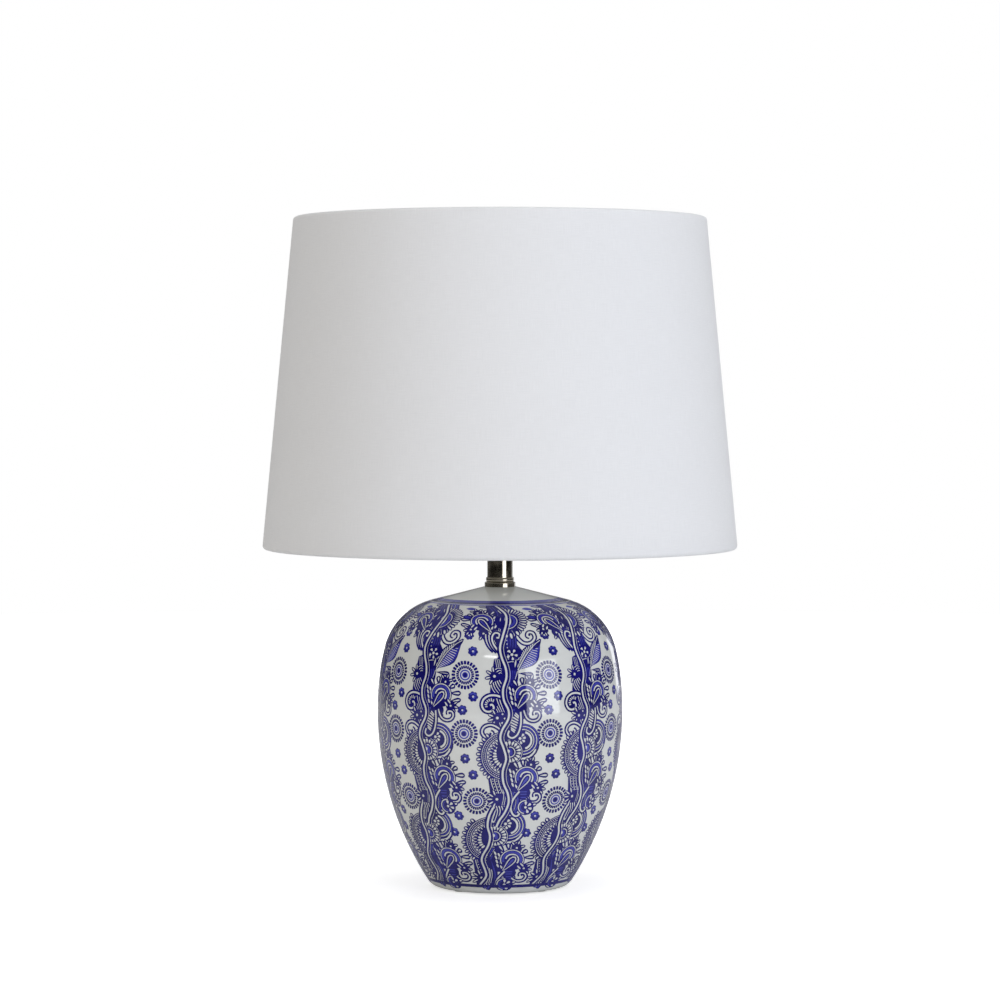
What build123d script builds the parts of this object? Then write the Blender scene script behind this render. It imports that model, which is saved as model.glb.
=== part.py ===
"""Ginger jar table lamp: a ceramic jar on a hollow tie rod, a lampholder, a bulb and a drum shade.

Millimetres, +Z up. The origin is the centre of the bottom, on the surface that the lamp stands on.
The front is -Y and the lead leaves at the back, +Y.
"""
import os
from math import acos, asin, atan2, cos, hypot, radians, sin, sqrt

from build123d import *

# Clearances
RUNNING_GAP = 0.3        # between pieces that move past each other
THREAD_GAP = 0.05        # radial, between the pieces of a tightened thread
LAYER_GAP = 0.05         # between the layers of the shade's rim
OVERSHOOT = 1.0          # of a cutting form past the piece that it cuts

# Foot pads
PAD_COUNT = 4
PAD_RADIUS = 3.5
PAD_THICKNESS = 1.0

# Jar: an outline of one straight cone and three arcs, above a rounded foot
JAR_HEIGHT = 224.4
BELLY_RADIUS = 92.0
BELLY_HEIGHT = 132.4     # of the widest place, above the foot
MOUTH_RADIUS = 12.0      # flat seat of the collar
CONE_SLOPE = 14.6        # degrees below level
SHOULDER_RADIUS = 48.6
SIDE_RADIUS = 175.6
FLANK_RADIUS = 237.0
SIDE_ANGLE = 3.9         # degrees above the belly where the side runs into the flank
JAR_WALL = 5.0
FOOT_ROUND = 8.0
FOOT_RING_WIDTH = 9.5
RECESS_DEPTH = 19.0
BASE_THICKNESS = 6.0
ROD_HOLE_RADIUS = 6.0

# Lead-out in the back of the foot
LEAD_HEIGHT = 11.0       # above the jar's foot
LEAD_BORE_RADIUS = 3.6
GROMMET_WALL = 1.4
GROMMET_FLANGE_RADIUS = 7.5
GROMMET_FLANGE_THICKNESS = 1.6
GROMMET_NOSE = 8.0       # past the glaze
GROMMET_TAIL = 2.0       # into the foot recess

# Tie rod and the stack under the jar's base
ROD_RADIUS = 4.9
ROD_BORE_RADIUS = 3.5
ROD_TAIL = 2.0           # below the nut
NUT_ACROSS_FLATS = 14.0
NUT_HEIGHT = 6.0
SPRING_WASHER_RADIUS = 8.2
SPRING_WASHER_HEIGHT = 2.0
SPRING_WASHER_SPLIT = 1.5
STEEL_WASHER_RADIUS = 15.0
STEEL_WASHER_HEIGHT = 1.5
RUBBER_WASHER_RADIUS = 16.0
RUBBER_WASHER_HEIGHT = 1.5

# Collar and neck
COLLAR_RADIUS = 11.5
COLLAR_TIER_HEIGHT = 3.5
COLLAR_EDGE_ROUND = 0.8
BEAD_RADIUS = 10.5
BEAD_HEIGHT = 3.6
BEAD_GROOVE = 0.45
GASKET_RADIUS = 10.0
GASKET_HEIGHT = 1.0
NECK_RADIUS = 9.5
NECK_WALL = 0.8
NECK_LENGTH = 31.4
NECK_SOCKET_DEPTH = 2.2  # of the collar's recess for the neck

# Lampholder
CAP_FOOT_RADIUS = 11.5
CAP_RADIUS = 19.0
CAP_HEIGHT = 22.0
CAP_SKIRT = 9.0
CAP_WALL = 1.6
CAP_BOSS_RADIUS = 8.0
CAP_BOSS_HEIGHT = 9.0
LOCKNUT_HEIGHT = 3.0
BARREL_LENGTH = 34.0
BARREL_CREST_RADIUS = 20.0
BARREL_THREAD_PITCH = 2.5
BARREL_THREAD_DEPTH = 0.8
BARREL_THREAD_TURNS = 11
BARREL_RIDGE = ((0.15, 0), (0.45, 1), (0.55, 1), (0.85, 0))  # shares of the pitch and of the depth
BARREL_BORE_RADIUS = 16.5
BARREL_LIP_RADIUS = 14.8
BARREL_LIP_HEIGHT = 2.0
SHOULDER_RING_RADIUS = 23.0
SHOULDER_RING_HEIGHT = 3.7
BLOCK_RADIUS = 15.8
BLOCK_DEPTH = 7.0        # below its flange
BLOCK_TOP = 6.0          # above the bottom of its flange
BLOCK_FLANGE_RADIUS = 18.0
BLOCK_FLANGE_HEIGHT = 2.5
SHELL_WALL = 0.5
SHELL_LENGTH = 23.0
SHELL_FLANGE = 1.4
CONTACT_WIDTH = 5.0
CONTACT_THICKNESS = 0.5
CONTACT_RISE = 1.1
CONTACT_MARGIN = 2.0     # inside the screw shell
CONTACT_FOOT = 2.85      # length that lies flat on the block
TERMINAL_RADIUS = 1.5
TERMINAL_HEAD_RADIUS = 2.8
TERMINAL_HEAD_HEIGHT = 2.0
TERMINAL_LENGTH = 6.0
TERMINAL_OFFSET = 12.0

# Shade rings
SEAT_RING_RADIUS = 27.0
SEAT_RING_HEIGHT = 4.0
SEAT_HUB_RADIUS = 23.5
SEAT_FLANGE_HEIGHT = 1.6
LOCK_RING_RADIUS = 27.0
LOCK_RING_HEIGHT = 7.0
LOCK_GRIP_COUNT = 16
LOCK_GRIP_RADIUS = 2.0
LOCK_GRIP_DEPTH = 1.0

# Shade
SHADE_BOTTOM_RADIUS = 177.8
SHADE_TOP_RADIUS = 154.6
SHADE_HEIGHT = 247.7
FITTER_RECESS = 37.9     # of the fitter ring above the bottom rim
COVER_THICKNESS = 0.5
COVER_RETURN = 10.0      # height of the cover's turned-in edge
LINER_THICKNESS = 0.5
WIRE_RADIUS = 1.5
FITTER_BORE_RADIUS = 21.0
FITTER_RADIUS = 31.0
FITTER_THICKNESS = 1.5
ARM_COUNT = 3
ARM_LEVEL_RUN = 14.0
ARM_BEND_RADIUS = 20.0
ARM_NOTCH_GAP = 0.4      # round each arm in the cover's turned-in edge

# Bulb
BULB_LENGTH = 108.0
GLOBE_RADIUS = 30.0
GLOBE_WALL = 1.2
GLOBE_SEAT_DROP = 18.0   # of the globe's rim below its centre
BULB_THREAD_PITCH = 3.629
BULB_THREAD_TURNS = 5
BULB_CREST_RADIUS = 13.1
BULB_ROOT_RADIUS = 12.2
BULB_CAP_WALL = 0.5
BULB_CAP_SKIRT = 3.9
BULB_PIP_RADIUS = 4.5
BULB_PIP_HEIGHT = 1.1
BULB_PIP_DOME = 0.44
INSULATOR_HEIGHT = 4.0
INSULATOR_MARGIN = 0.5   # round the tip
HOUSING_WALL = 1.8
HOUSING_RIM = 0.6        # of the housing outside the globe's rim
HOUSING_FLARE = 0.56     # share of its flare that the housing has at half its height
BOARD_THICKNESS = 1.6
LED_BOARD_MARGIN = 1.5
LED_COUNT = 9
LED_LENGTH = 3.5
LED_WIDTH = 2.8
LED_HEIGHT = 0.8
LED_CIRCLE_RADIUS = 13.0
DRIVER_WIDTH = 18.0
CAPACITOR_RADIUS = 4.0
CAPACITOR_HEIGHT = 12.0
CAPACITOR_LIFT = 8.0     # above the housing's floor

# Heights that follow from the sizes, from the surface up
FOOT_Z = PAD_THICKNESS
MOUTH_Z = FOOT_Z + JAR_HEIGHT
RECESS_Z = FOOT_Z + RECESS_DEPTH
FLOOR_Z = RECESS_Z + BASE_THICKNESS
LEAD_Z = FOOT_Z + LEAD_HEIGHT
RUBBER_WASHER_Z = RECESS_Z - RUBBER_WASHER_HEIGHT
STEEL_WASHER_Z = RUBBER_WASHER_Z - STEEL_WASHER_HEIGHT
SPRING_WASHER_Z = STEEL_WASHER_Z - SPRING_WASHER_HEIGHT
NUT_Z = SPRING_WASHER_Z - NUT_HEIGHT
ROD_Z = NUT_Z - ROD_TAIL
BEAD_Z = MOUTH_Z + COLLAR_TIER_HEIGHT
COLLAR_TOP_Z = BEAD_Z + BEAD_HEIGHT
NECK_Z = COLLAR_TOP_Z - NECK_SOCKET_DEPTH
HOLDER_Z = NECK_Z + NECK_LENGTH
BOSS_TOP_Z = HOLDER_Z + CAP_BOSS_HEIGHT
LOCKNUT_TOP_Z = BOSS_TOP_Z + LOCKNUT_HEIGHT
BARREL_Z = HOLDER_Z + CAP_HEIGHT
BARREL_TOP_Z = BARREL_Z + BARREL_LENGTH
SHOULDER_RING_TOP_Z = BARREL_Z + SHOULDER_RING_HEIGHT
BLOCK_TOP_Z = BARREL_Z + BLOCK_TOP
CONTACT_TOP_Z = BLOCK_TOP_Z + CONTACT_RISE + CONTACT_THICKNESS
SEAT_RING_Z = SHOULDER_RING_TOP_Z + RUNNING_GAP
FITTER_Z = SEAT_RING_Z + SEAT_RING_HEIGHT + RUNNING_GAP
LOCK_RING_Z = FITTER_Z + FITTER_THICKNESS + RUNNING_GAP
SHADE_Z = FITTER_Z - FITTER_RECESS
BULB_Z = CONTACT_TOP_Z + RUNNING_GAP
INSULATOR_Z = BULB_Z + BULB_PIP_HEIGHT
BULB_CAP_Z = INSULATOR_Z + INSULATOR_HEIGHT
HOUSING_Z = BULB_CAP_Z + BULB_THREAD_PITCH * BULB_THREAD_TURNS + BULB_CAP_SKIRT
GLOBE_CENTER_Z = BULB_Z + BULB_LENGTH - GLOBE_RADIUS
GLOBE_Z = GLOBE_CENTER_Z - GLOBE_SEAT_DROP

# Radii that follow from the sizes
ROD_CLEAR_RADIUS = ROD_RADIUS + THREAD_GAP
GROMMET_RADIUS = LEAD_BORE_RADIUS + GROMMET_WALL
SHELL_BORE_RADIUS = BULB_CREST_RADIUS + RUNNING_GAP
SHADE_RING_BORE_RADIUS = BARREL_CREST_RADIUS + RUNNING_GAP
RIM_RADIUS = WIRE_RADIUS + LINER_THICKNESS + 2 * LAYER_GAP + COVER_THICKNESS


# --- Helpers ---------------------------------------------------------------------------------

def turned(start, *steps):
    """Turn an outline of (radius, height) points about Z. A step is a point, or an arc's (mid, end)."""
    edges = []
    here = start
    for step in (*steps, start):
        if isinstance(step[0], tuple):
            edges.append(ThreePointArc(here, *step))
            here = step[1]
        elif step != here:
            edges.append(Line(here, step))
            here = step
    return revolve(Plane.XZ * make_face(edges), Axis.Z)


def ring(bore, radius, low, high):
    """A plain ring or, with no bore, a disc."""
    if bore == 0:
        return turned((0, low), (radius, low), (radius, high), (0, high))
    return turned((bore, low), (radius, low), (radius, high), (bore, high))


def rod_along_y(radius, start, end, height):
    """A round bar along Y, from start to end, with its axis at this height."""
    return Plane((0, start, height), z_dir=(0, 1, 0)) * extrude(Circle(radius), end - start)


def hex_nut(low, height):
    """A nut on the tie rod."""
    blank = extrude(RegularPolygon(NUT_ACROSS_FLATS / 2, 6, major_radius=False), height)
    hole = ring(0, ROD_CLEAR_RADIUS, low - OVERSHOOT, low + height + OVERSHOOT)
    return Pos(0, 0, low) * blank - hole


def around(piece, count, start=0.0):
    """Equal copies of a piece round the Z axis."""
    return [Rot(0, 0, start + 360 * index / count) * piece for index in range(count)]


def point_at(center, radius, angle):
    """The point of a circle in the outline's plane, with its angle from level outwards."""
    return (center[0] + radius * cos(angle), center[1] + radius * sin(angle))


def between(center, radius, first, last):
    """The middle and the end of the arc from one angle to another."""
    return (point_at(center, radius, (first + last) / 2), point_at(center, radius, last))


# --- Jar -------------------------------------------------------------------------------------

FLANK_CENTER = (BELLY_RADIUS - FLANK_RADIUS, FOOT_Z + BELLY_HEIGHT)
SIDE_TURN = radians(SIDE_ANGLE)
SIDE_CENTER = point_at(FLANK_CENTER, FLANK_RADIUS - SIDE_RADIUS, SIDE_TURN)
CONE_TURN = radians(90 - CONE_SLOPE)


def shoulder_center():
    """Centre of the arc that touches the cone's line and lies inside the side's arc."""
    reach = SIDE_RADIUS - SHOULDER_RADIUS
    drop = (cos(CONE_TURN), sin(CONE_TURN))
    start = (MOUTH_RADIUS - SHOULDER_RADIUS * drop[0], MOUTH_Z - SHOULDER_RADIUS * drop[1])
    gap = (start[0] - SIDE_CENTER[0], start[1] - SIDE_CENTER[1])
    along = (drop[1], -drop[0])
    ahead = gap[0] * along[0] + gap[1] * along[1]
    run = sqrt(ahead ** 2 - gap[0] ** 2 - gap[1] ** 2 + reach ** 2) - ahead
    return (start[0] + run * along[0], start[1] + run * along[1])


SHOULDER_CENTER = shoulder_center()
SHOULDER_TURN = atan2(SHOULDER_CENTER[1] - SIDE_CENTER[1], SHOULDER_CENTER[0] - SIDE_CENTER[0])
FOOT_CENTER_Z = FOOT_Z + FOOT_ROUND
FOOT_CENTER_DROP = FLANK_CENTER[1] - FOOT_CENTER_Z
FOOT_CENTER = (
    FLANK_CENTER[0] + sqrt((FLANK_RADIUS - FOOT_ROUND) ** 2 - FOOT_CENTER_DROP ** 2),
    FOOT_CENTER_Z,
)
FOOT_TURN = atan2(-FOOT_CENTER_DROP, FOOT_CENTER[0] - FLANK_CENTER[0])
CONTACT_RADIUS = FOOT_CENTER[0]
RECESS_RADIUS = CONTACT_RADIUS - FOOT_RING_WIDTH


def jar_upper(inset):
    """Steps of the outline from the end of the flank up to the mouth, inset from the glaze."""
    side = SIDE_RADIUS - inset
    shoulder = SHOULDER_RADIUS - inset
    mouth_z = MOUTH_Z - inset / sin(CONE_TURN)
    return (
        between(FLANK_CENTER, FLANK_RADIUS - inset, 0, SIDE_TURN),
        between(SIDE_CENTER, side, SIDE_TURN, SHOULDER_TURN),
        between(SHOULDER_CENTER, shoulder, SHOULDER_TURN, CONE_TURN),
        (MOUTH_RADIUS, mouth_z),
        (0, mouth_z),
    )


def jar_body(inset=0.0):
    """The jar's outer form as a full solid, inset from the glaze or, if negative, proud of it."""
    flank = FLANK_RADIUS - inset
    foot = FOOT_ROUND - inset
    return turned(
        (0, FOOT_Z + inset),
        (CONTACT_RADIUS, FOOT_Z + inset),
        between(FOOT_CENTER, foot, radians(-90), FOOT_TURN),
        between(FLANK_CENTER, flank, FOOT_TURN, 0),
        *jar_upper(inset),
    )


def jar_cavity():
    """The hollow inside the jar, above its base."""
    flank = FLANK_RADIUS - JAR_WALL
    rise = FLANK_CENTER[1] - FLOOR_Z
    floor_radius = FLANK_CENTER[0] + sqrt(flank ** 2 - rise ** 2)
    floor_turn = atan2(-rise, floor_radius - FLANK_CENTER[0])
    return turned(
        (0, FLOOR_Z),
        (floor_radius, FLOOR_Z),
        between(FLANK_CENTER, flank, floor_turn, 0),
        *jar_upper(JAR_WALL),
    )


def glaze_radius(height):
    """Radius of the jar's flank at a height below its belly."""
    return FLANK_CENTER[0] + sqrt(FLANK_RADIUS ** 2 - (FLANK_CENTER[1] - height) ** 2)


def ceramic_jar():
    recess = ring(0, RECESS_RADIUS, 0, RECESS_Z)
    rod_hole = ring(0, ROD_HOLE_RADIUS, 0, MOUTH_Z + OVERSHOOT)
    lead_hole = rod_along_y(GROMMET_RADIUS + THREAD_GAP, RECESS_RADIUS / 2, BELLY_RADIUS, LEAD_Z)
    return jar_body() - jar_cavity() - recess - rod_hole - lead_hole


def foot_pads():
    pad = Pos(CONTACT_RADIUS - FOOT_RING_WIDTH / 2, 0, 0) * ring(0, PAD_RADIUS, 0, PAD_THICKNESS)
    return around(pad, PAD_COUNT, 180 / PAD_COUNT)


def cord_grommet():
    """A rubber bush with a flange that follows the glaze, and a nose for the lead."""
    glaze = glaze_radius(LEAD_Z)
    flange = rod_along_y(GROMMET_FLANGE_RADIUS, RECESS_RADIUS, glaze + GROMMET_NOSE, LEAD_Z)
    flange = flange & jar_body(-GROMMET_FLANGE_THICKNESS) - jar_body(-THREAD_GAP)
    tail = RECESS_RADIUS - GROMMET_TAIL
    nose = glaze + GROMMET_NOSE
    sleeve = rod_along_y(GROMMET_RADIUS, tail, nose, LEAD_Z)
    bore = rod_along_y(LEAD_BORE_RADIUS, tail - OVERSHOOT, nose + OVERSHOOT, LEAD_Z)
    return flange + sleeve - bore


# --- Tie rod and its stack -------------------------------------------------------------------

def threaded_rod():
    return ring(ROD_BORE_RADIUS, ROD_RADIUS, ROD_Z, LOCKNUT_TOP_Z)


def spring_washer():
    washer = ring(ROD_CLEAR_RADIUS, SPRING_WASHER_RADIUS, SPRING_WASHER_Z, STEEL_WASHER_Z)
    reach = SPRING_WASHER_RADIUS + OVERSHOOT
    split = Pos(reach / 2, 0, SPRING_WASHER_Z) * Box(reach, SPRING_WASHER_SPLIT, 4 * SPRING_WASHER_HEIGHT)
    return washer - split


# --- Collar and neck -------------------------------------------------------------------------

def neck_collar():
    tier = COLLAR_TIER_HEIGHT - COLLAR_EDGE_ROUND
    groove_radius = BEAD_RADIUS - BEAD_GROOVE
    bead_mid = BEAD_Z + BEAD_HEIGHT / 2
    return turned(
        (ROD_CLEAR_RADIUS, MOUTH_Z + GASKET_HEIGHT),
        (GASKET_RADIUS + THREAD_GAP, MOUTH_Z + GASKET_HEIGHT),
        (GASKET_RADIUS + THREAD_GAP, MOUTH_Z),
        (COLLAR_RADIUS, MOUTH_Z),
        (COLLAR_RADIUS, MOUTH_Z + tier),
        between((COLLAR_RADIUS - COLLAR_EDGE_ROUND, MOUTH_Z + tier), COLLAR_EDGE_ROUND, 0, radians(90)),
        (groove_radius, BEAD_Z),
        ((BEAD_RADIUS, bead_mid), (groove_radius, COLLAR_TOP_Z)),
        (NECK_RADIUS + THREAD_GAP, COLLAR_TOP_Z),
        (NECK_RADIUS + THREAD_GAP, NECK_Z),
        (ROD_CLEAR_RADIUS, NECK_Z),
    )


# --- Lampholder ------------------------------------------------------------------------------

def holder_cap():
    """A dome on the neck, whose arc runs into a straight skirt."""
    skirt_z = BARREL_Z - CAP_SKIRT
    rise = skirt_z - HOLDER_Z
    spread = CAP_RADIUS - CAP_FOOT_RADIUS
    dome_radius = (spread ** 2 + rise ** 2) / (2 * spread)
    center = (CAP_RADIUS - dome_radius, skirt_z)
    inner_radius = dome_radius - CAP_WALL
    turn = atan2(-rise, CAP_FOOT_RADIUS - center[0])
    floor_z = HOLDER_Z + CAP_WALL
    inner_turn = -asin((rise - CAP_WALL) / inner_radius)
    return turned(
        (ROD_CLEAR_RADIUS, HOLDER_Z),
        (CAP_FOOT_RADIUS, HOLDER_Z),
        between(center, dome_radius, turn, 0),
        (CAP_RADIUS, BARREL_Z),
        (CAP_RADIUS - CAP_WALL, BARREL_Z),
        (CAP_RADIUS - CAP_WALL, skirt_z),
        between(center, inner_radius, 0, inner_turn),
        (CAP_BOSS_RADIUS, floor_z),
        (CAP_BOSS_RADIUS, BOSS_TOP_Z),
        (ROD_CLEAR_RADIUS, BOSS_TOP_Z),
    )


def holder_barrel():
    """The outer shell, with the shade rings' thread as plain ridges above its shoulder."""
    root = BARREL_CREST_RADIUS - BARREL_THREAD_DEPTH
    ridges = []
    for turn in range(BARREL_THREAD_TURNS):
        low = SHOULDER_RING_TOP_Z + turn * BARREL_THREAD_PITCH
        for up, out in BARREL_RIDGE:
            ridges.append((root + out * BARREL_THREAD_DEPTH, low + up * BARREL_THREAD_PITCH))
    ledge_z = BARREL_Z + BLOCK_FLANGE_HEIGHT
    ledge_radius = BLOCK_FLANGE_RADIUS + THREAD_GAP
    return turned(
        (ledge_radius, BARREL_Z),
        (SHOULDER_RING_RADIUS, BARREL_Z),
        (SHOULDER_RING_RADIUS, SHOULDER_RING_TOP_Z),
        (root, SHOULDER_RING_TOP_Z),
        *ridges,
        (root, BARREL_TOP_Z),
        (BARREL_LIP_RADIUS, BARREL_TOP_Z),
        (BARREL_LIP_RADIUS, BARREL_TOP_Z - BARREL_LIP_HEIGHT),
        (BARREL_BORE_RADIUS, BARREL_TOP_Z - BARREL_LIP_HEIGHT),
        (BARREL_BORE_RADIUS, ledge_z),
        (ledge_radius, ledge_z),
    )


def contact_block():
    low = BARREL_Z - BLOCK_DEPTH
    flange_top = BARREL_Z + BLOCK_FLANGE_HEIGHT
    block = turned(
        (0, low),
        (BLOCK_RADIUS, low),
        (BLOCK_RADIUS, BARREL_Z),
        (BLOCK_FLANGE_RADIUS, BARREL_Z),
        (BLOCK_FLANGE_RADIUS, flange_top),
        (BLOCK_RADIUS, flange_top),
        (BLOCK_RADIUS, BLOCK_TOP_Z),
        (0, BLOCK_TOP_Z),
    )
    hole = ring(0, TERMINAL_RADIUS + THREAD_GAP, low - OVERSHOOT, low + TERMINAL_LENGTH)
    for cut in around(Pos(TERMINAL_OFFSET, 0, 0) * hole, 2, 90):
        block -= cut
    return block


def terminal_screws():
    low = BARREL_Z - BLOCK_DEPTH
    screw = turned(
        (0, low - TERMINAL_HEAD_HEIGHT),
        (TERMINAL_HEAD_RADIUS, low - TERMINAL_HEAD_HEIGHT),
        (TERMINAL_HEAD_RADIUS, low),
        (TERMINAL_RADIUS, low),
        (TERMINAL_RADIUS, low + TERMINAL_LENGTH),
        (0, low + TERMINAL_LENGTH),
    )
    return around(Pos(TERMINAL_OFFSET, 0, 0) * screw, 2, 90)


def screw_shell():
    outer = SHELL_BORE_RADIUS + SHELL_WALL
    return turned(
        (SHELL_BORE_RADIUS, BLOCK_TOP_Z),
        (outer + SHELL_FLANGE, BLOCK_TOP_Z),
        (outer + SHELL_FLANGE, BLOCK_TOP_Z + SHELL_WALL),
        (outer, BLOCK_TOP_Z + SHELL_WALL),
        (outer, BLOCK_TOP_Z + SHELL_LENGTH),
        (SHELL_BORE_RADIUS, BLOCK_TOP_Z + SHELL_LENGTH),
    )


def centre_contact():
    """A sprung strip that lies on the block at one end and rises to the bulb's tip."""
    end = SHELL_BORE_RADIUS - CONTACT_MARGIN
    rest = end - CONTACT_FOOT
    tip = CONTACT_WIDTH / 2
    top = CONTACT_TOP_Z
    low = BLOCK_TOP_Z
    strip = Polyline(
        (end, low),
        (end, low + CONTACT_THICKNESS),
        (rest, low + CONTACT_THICKNESS),
        (tip, top),
        (-tip, top),
        (-tip, top - CONTACT_THICKNESS),
        (tip, top - CONTACT_THICKNESS),
        (rest, low),
        close=True,
    )
    return extrude(Plane.XZ * make_face(strip), CONTACT_WIDTH / 2, both=True)


# --- Shade rings -----------------------------------------------------------------------------

def seat_ring():
    flange_z = SEAT_RING_Z + SEAT_RING_HEIGHT - SEAT_FLANGE_HEIGHT
    top = SEAT_RING_Z + SEAT_RING_HEIGHT
    return turned(
        (SHADE_RING_BORE_RADIUS, SEAT_RING_Z),
        (SEAT_HUB_RADIUS, SEAT_RING_Z),
        (SEAT_HUB_RADIUS, flange_z),
        (SEAT_RING_RADIUS, flange_z),
        (SEAT_RING_RADIUS, top),
        (SHADE_RING_BORE_RADIUS, top),
    )


def lock_ring():
    top = LOCK_RING_Z + LOCK_RING_HEIGHT
    body = ring(SHADE_RING_BORE_RADIUS, LOCK_RING_RADIUS, LOCK_RING_Z, top)
    reach = LOCK_RING_RADIUS + LOCK_GRIP_RADIUS - LOCK_GRIP_DEPTH
    grip = ring(0, LOCK_GRIP_RADIUS, LOCK_RING_Z - OVERSHOOT, top + OVERSHOOT)
    for cut in around(Pos(reach, 0, 0) * grip, LOCK_GRIP_COUNT):
        body -= cut
    return body


# --- Shade -----------------------------------------------------------------------------------

LOWER_WIRE = (SHADE_BOTTOM_RADIUS - RIM_RADIUS, SHADE_Z + RIM_RADIUS)
UPPER_WIRE = (SHADE_TOP_RADIUS - RIM_RADIUS, SHADE_Z + SHADE_HEIGHT - RIM_RADIUS)
SLANT_LENGTH = hypot(UPPER_WIRE[0] - LOWER_WIRE[0], UPPER_WIRE[1] - LOWER_WIRE[1])
SLANT = ((UPPER_WIRE[0] - LOWER_WIRE[0]) / SLANT_LENGTH, (UPPER_WIRE[1] - LOWER_WIRE[1]) / SLANT_LENGTH)


def rim_point(wire, out, up=0.0):
    """A point of the shade's section, so far outwards from a wire's centre and up the slant."""
    return (wire[0] + out * SLANT[1] + up * SLANT[0], wire[1] - out * SLANT[0] + up * SLANT[1])


def fitter_arm(radius):
    """One arm along +X, from the fitter ring out and down to the centre of the lower wire."""
    level = FITTER_Z + FITTER_THICKNESS / 2
    start = FITTER_RADIUS + LAYER_GAP
    knee = start + ARM_LEVEL_RUN
    end = (LOWER_WIRE[0], 0, LOWER_WIRE[1])
    path = FilletPolyline((start, 0, level), (knee, 0, level), end, radius=ARM_BEND_RADIUS)
    return sweep(Plane((start, 0, level), z_dir=(1, 0, 0)) * Circle(radius), path)


def hoop(wire, radius):
    """A wire hoop in a rim."""
    return Pos(0, 0, wire[1]) * Torus(wire[0], radius)


def shade_cover():
    """Cloth up the outside, rolled over both wires and turned in."""
    inside = RIM_RADIUS - COVER_THICKNESS
    body = turned(
        rim_point(UPPER_WIRE, -RIM_RADIUS, -COVER_RETURN),
        rim_point(UPPER_WIRE, -RIM_RADIUS),
        (rim_point(UPPER_WIRE, 0, RIM_RADIUS), rim_point(UPPER_WIRE, RIM_RADIUS)),
        rim_point(LOWER_WIRE, RIM_RADIUS),
        (rim_point(LOWER_WIRE, 0, -RIM_RADIUS), rim_point(LOWER_WIRE, -RIM_RADIUS)),
        rim_point(LOWER_WIRE, -RIM_RADIUS, COVER_RETURN),
        rim_point(LOWER_WIRE, -inside, COVER_RETURN),
        rim_point(LOWER_WIRE, -inside),
        (rim_point(LOWER_WIRE, 0, -inside), rim_point(LOWER_WIRE, inside)),
        rim_point(UPPER_WIRE, inside),
        (rim_point(UPPER_WIRE, 0, inside), rim_point(UPPER_WIRE, -inside)),
        rim_point(UPPER_WIRE, -inside, -COVER_RETURN),
    )
    for notch in around(fitter_arm(WIRE_RADIUS + ARM_NOTCH_GAP), ARM_COUNT, 90):
        body -= notch
    return body


def shade_liner():
    inner = WIRE_RADIUS + LAYER_GAP
    outer = inner + LINER_THICKNESS
    return turned(
        rim_point(LOWER_WIRE, inner),
        rim_point(LOWER_WIRE, outer),
        rim_point(UPPER_WIRE, outer),
        rim_point(UPPER_WIRE, inner),
    )


def fitter_arms():
    arm = fitter_arm(WIRE_RADIUS) - hoop(LOWER_WIRE, WIRE_RADIUS + LAYER_GAP)
    return around(arm, ARM_COUNT, 90)


# --- Bulb ------------------------------------------------------------------------------------

def bulb_contact():
    """The soldered tip, with a slightly domed face."""
    dome_radius = (BULB_PIP_RADIUS ** 2 + BULB_PIP_DOME ** 2) / (2 * BULB_PIP_DOME)
    center = (0, BULB_Z + dome_radius)
    edge_turn = -acos(BULB_PIP_RADIUS / dome_radius)
    return turned(
        (0, BULB_Z),
        between(center, dome_radius, radians(-90), edge_turn),
        (BULB_PIP_RADIUS, INSULATOR_Z),
        (0, INSULATOR_Z),
    )


def bulb_insulator():
    return turned(
        (0, INSULATOR_Z),
        (BULB_PIP_RADIUS + INSULATOR_MARGIN, INSULATOR_Z),
        (BULB_ROOT_RADIUS, BULB_CAP_Z),
        (0, BULB_CAP_Z),
    )


def bulb_cap():
    """The threaded metal cap, with its rolled thread as plain round ridges."""
    ridges = []
    for turn in range(BULB_THREAD_TURNS):
        low = BULB_CAP_Z + turn * BULB_THREAD_PITCH
        crest = (BULB_CREST_RADIUS, low + BULB_THREAD_PITCH / 2)
        ridges.append((crest, (BULB_ROOT_RADIUS, low + BULB_THREAD_PITCH)))
    bore = BULB_ROOT_RADIUS - BULB_CAP_WALL
    return turned(
        (bore, BULB_CAP_Z),
        (BULB_ROOT_RADIUS, BULB_CAP_Z),
        *ridges,
        (BULB_CREST_RADIUS, HOUSING_Z - BULB_CAP_SKIRT),
        (BULB_CREST_RADIUS, HOUSING_Z),
        (bore, HOUSING_Z),
    )


def housing_outline(inset):
    """Start, middle and end of the housing's flared side, inset from its outside."""
    rim = globe_rim(0) + HOUSING_RIM
    foot = BULB_CREST_RADIUS + HOUSING_RIM
    flare = (foot + HOUSING_FLARE * (rim - foot), (HOUSING_Z + GLOBE_Z) / 2)
    return ((foot - inset, HOUSING_Z), (flare[0] - inset, flare[1]), (rim - inset, GLOBE_Z))


def globe_rim(inset):
    """Radius of the globe where it meets the housing."""
    return sqrt((GLOBE_RADIUS - inset) ** 2 - GLOBE_SEAT_DROP ** 2)


def bulb_housing():
    foot, flare, rim = housing_outline(0)
    solid = turned((0, HOUSING_Z), foot, (flare, rim), (0, GLOBE_Z))
    foot, flare, rim = housing_outline(HOUSING_WALL)
    hollow = turned((0, HOUSING_Z), foot, (flare, rim), (0, GLOBE_Z))
    hollow &= ring(0, GLOBE_RADIUS, HOUSING_Z + HOUSING_WALL, GLOBE_Z - HOUSING_WALL)
    wire_way = ring(0, BULB_PIP_RADIUS, HOUSING_Z - OVERSHOOT, GLOBE_Z + OVERSHOOT)
    return solid - hollow - wire_way


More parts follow.
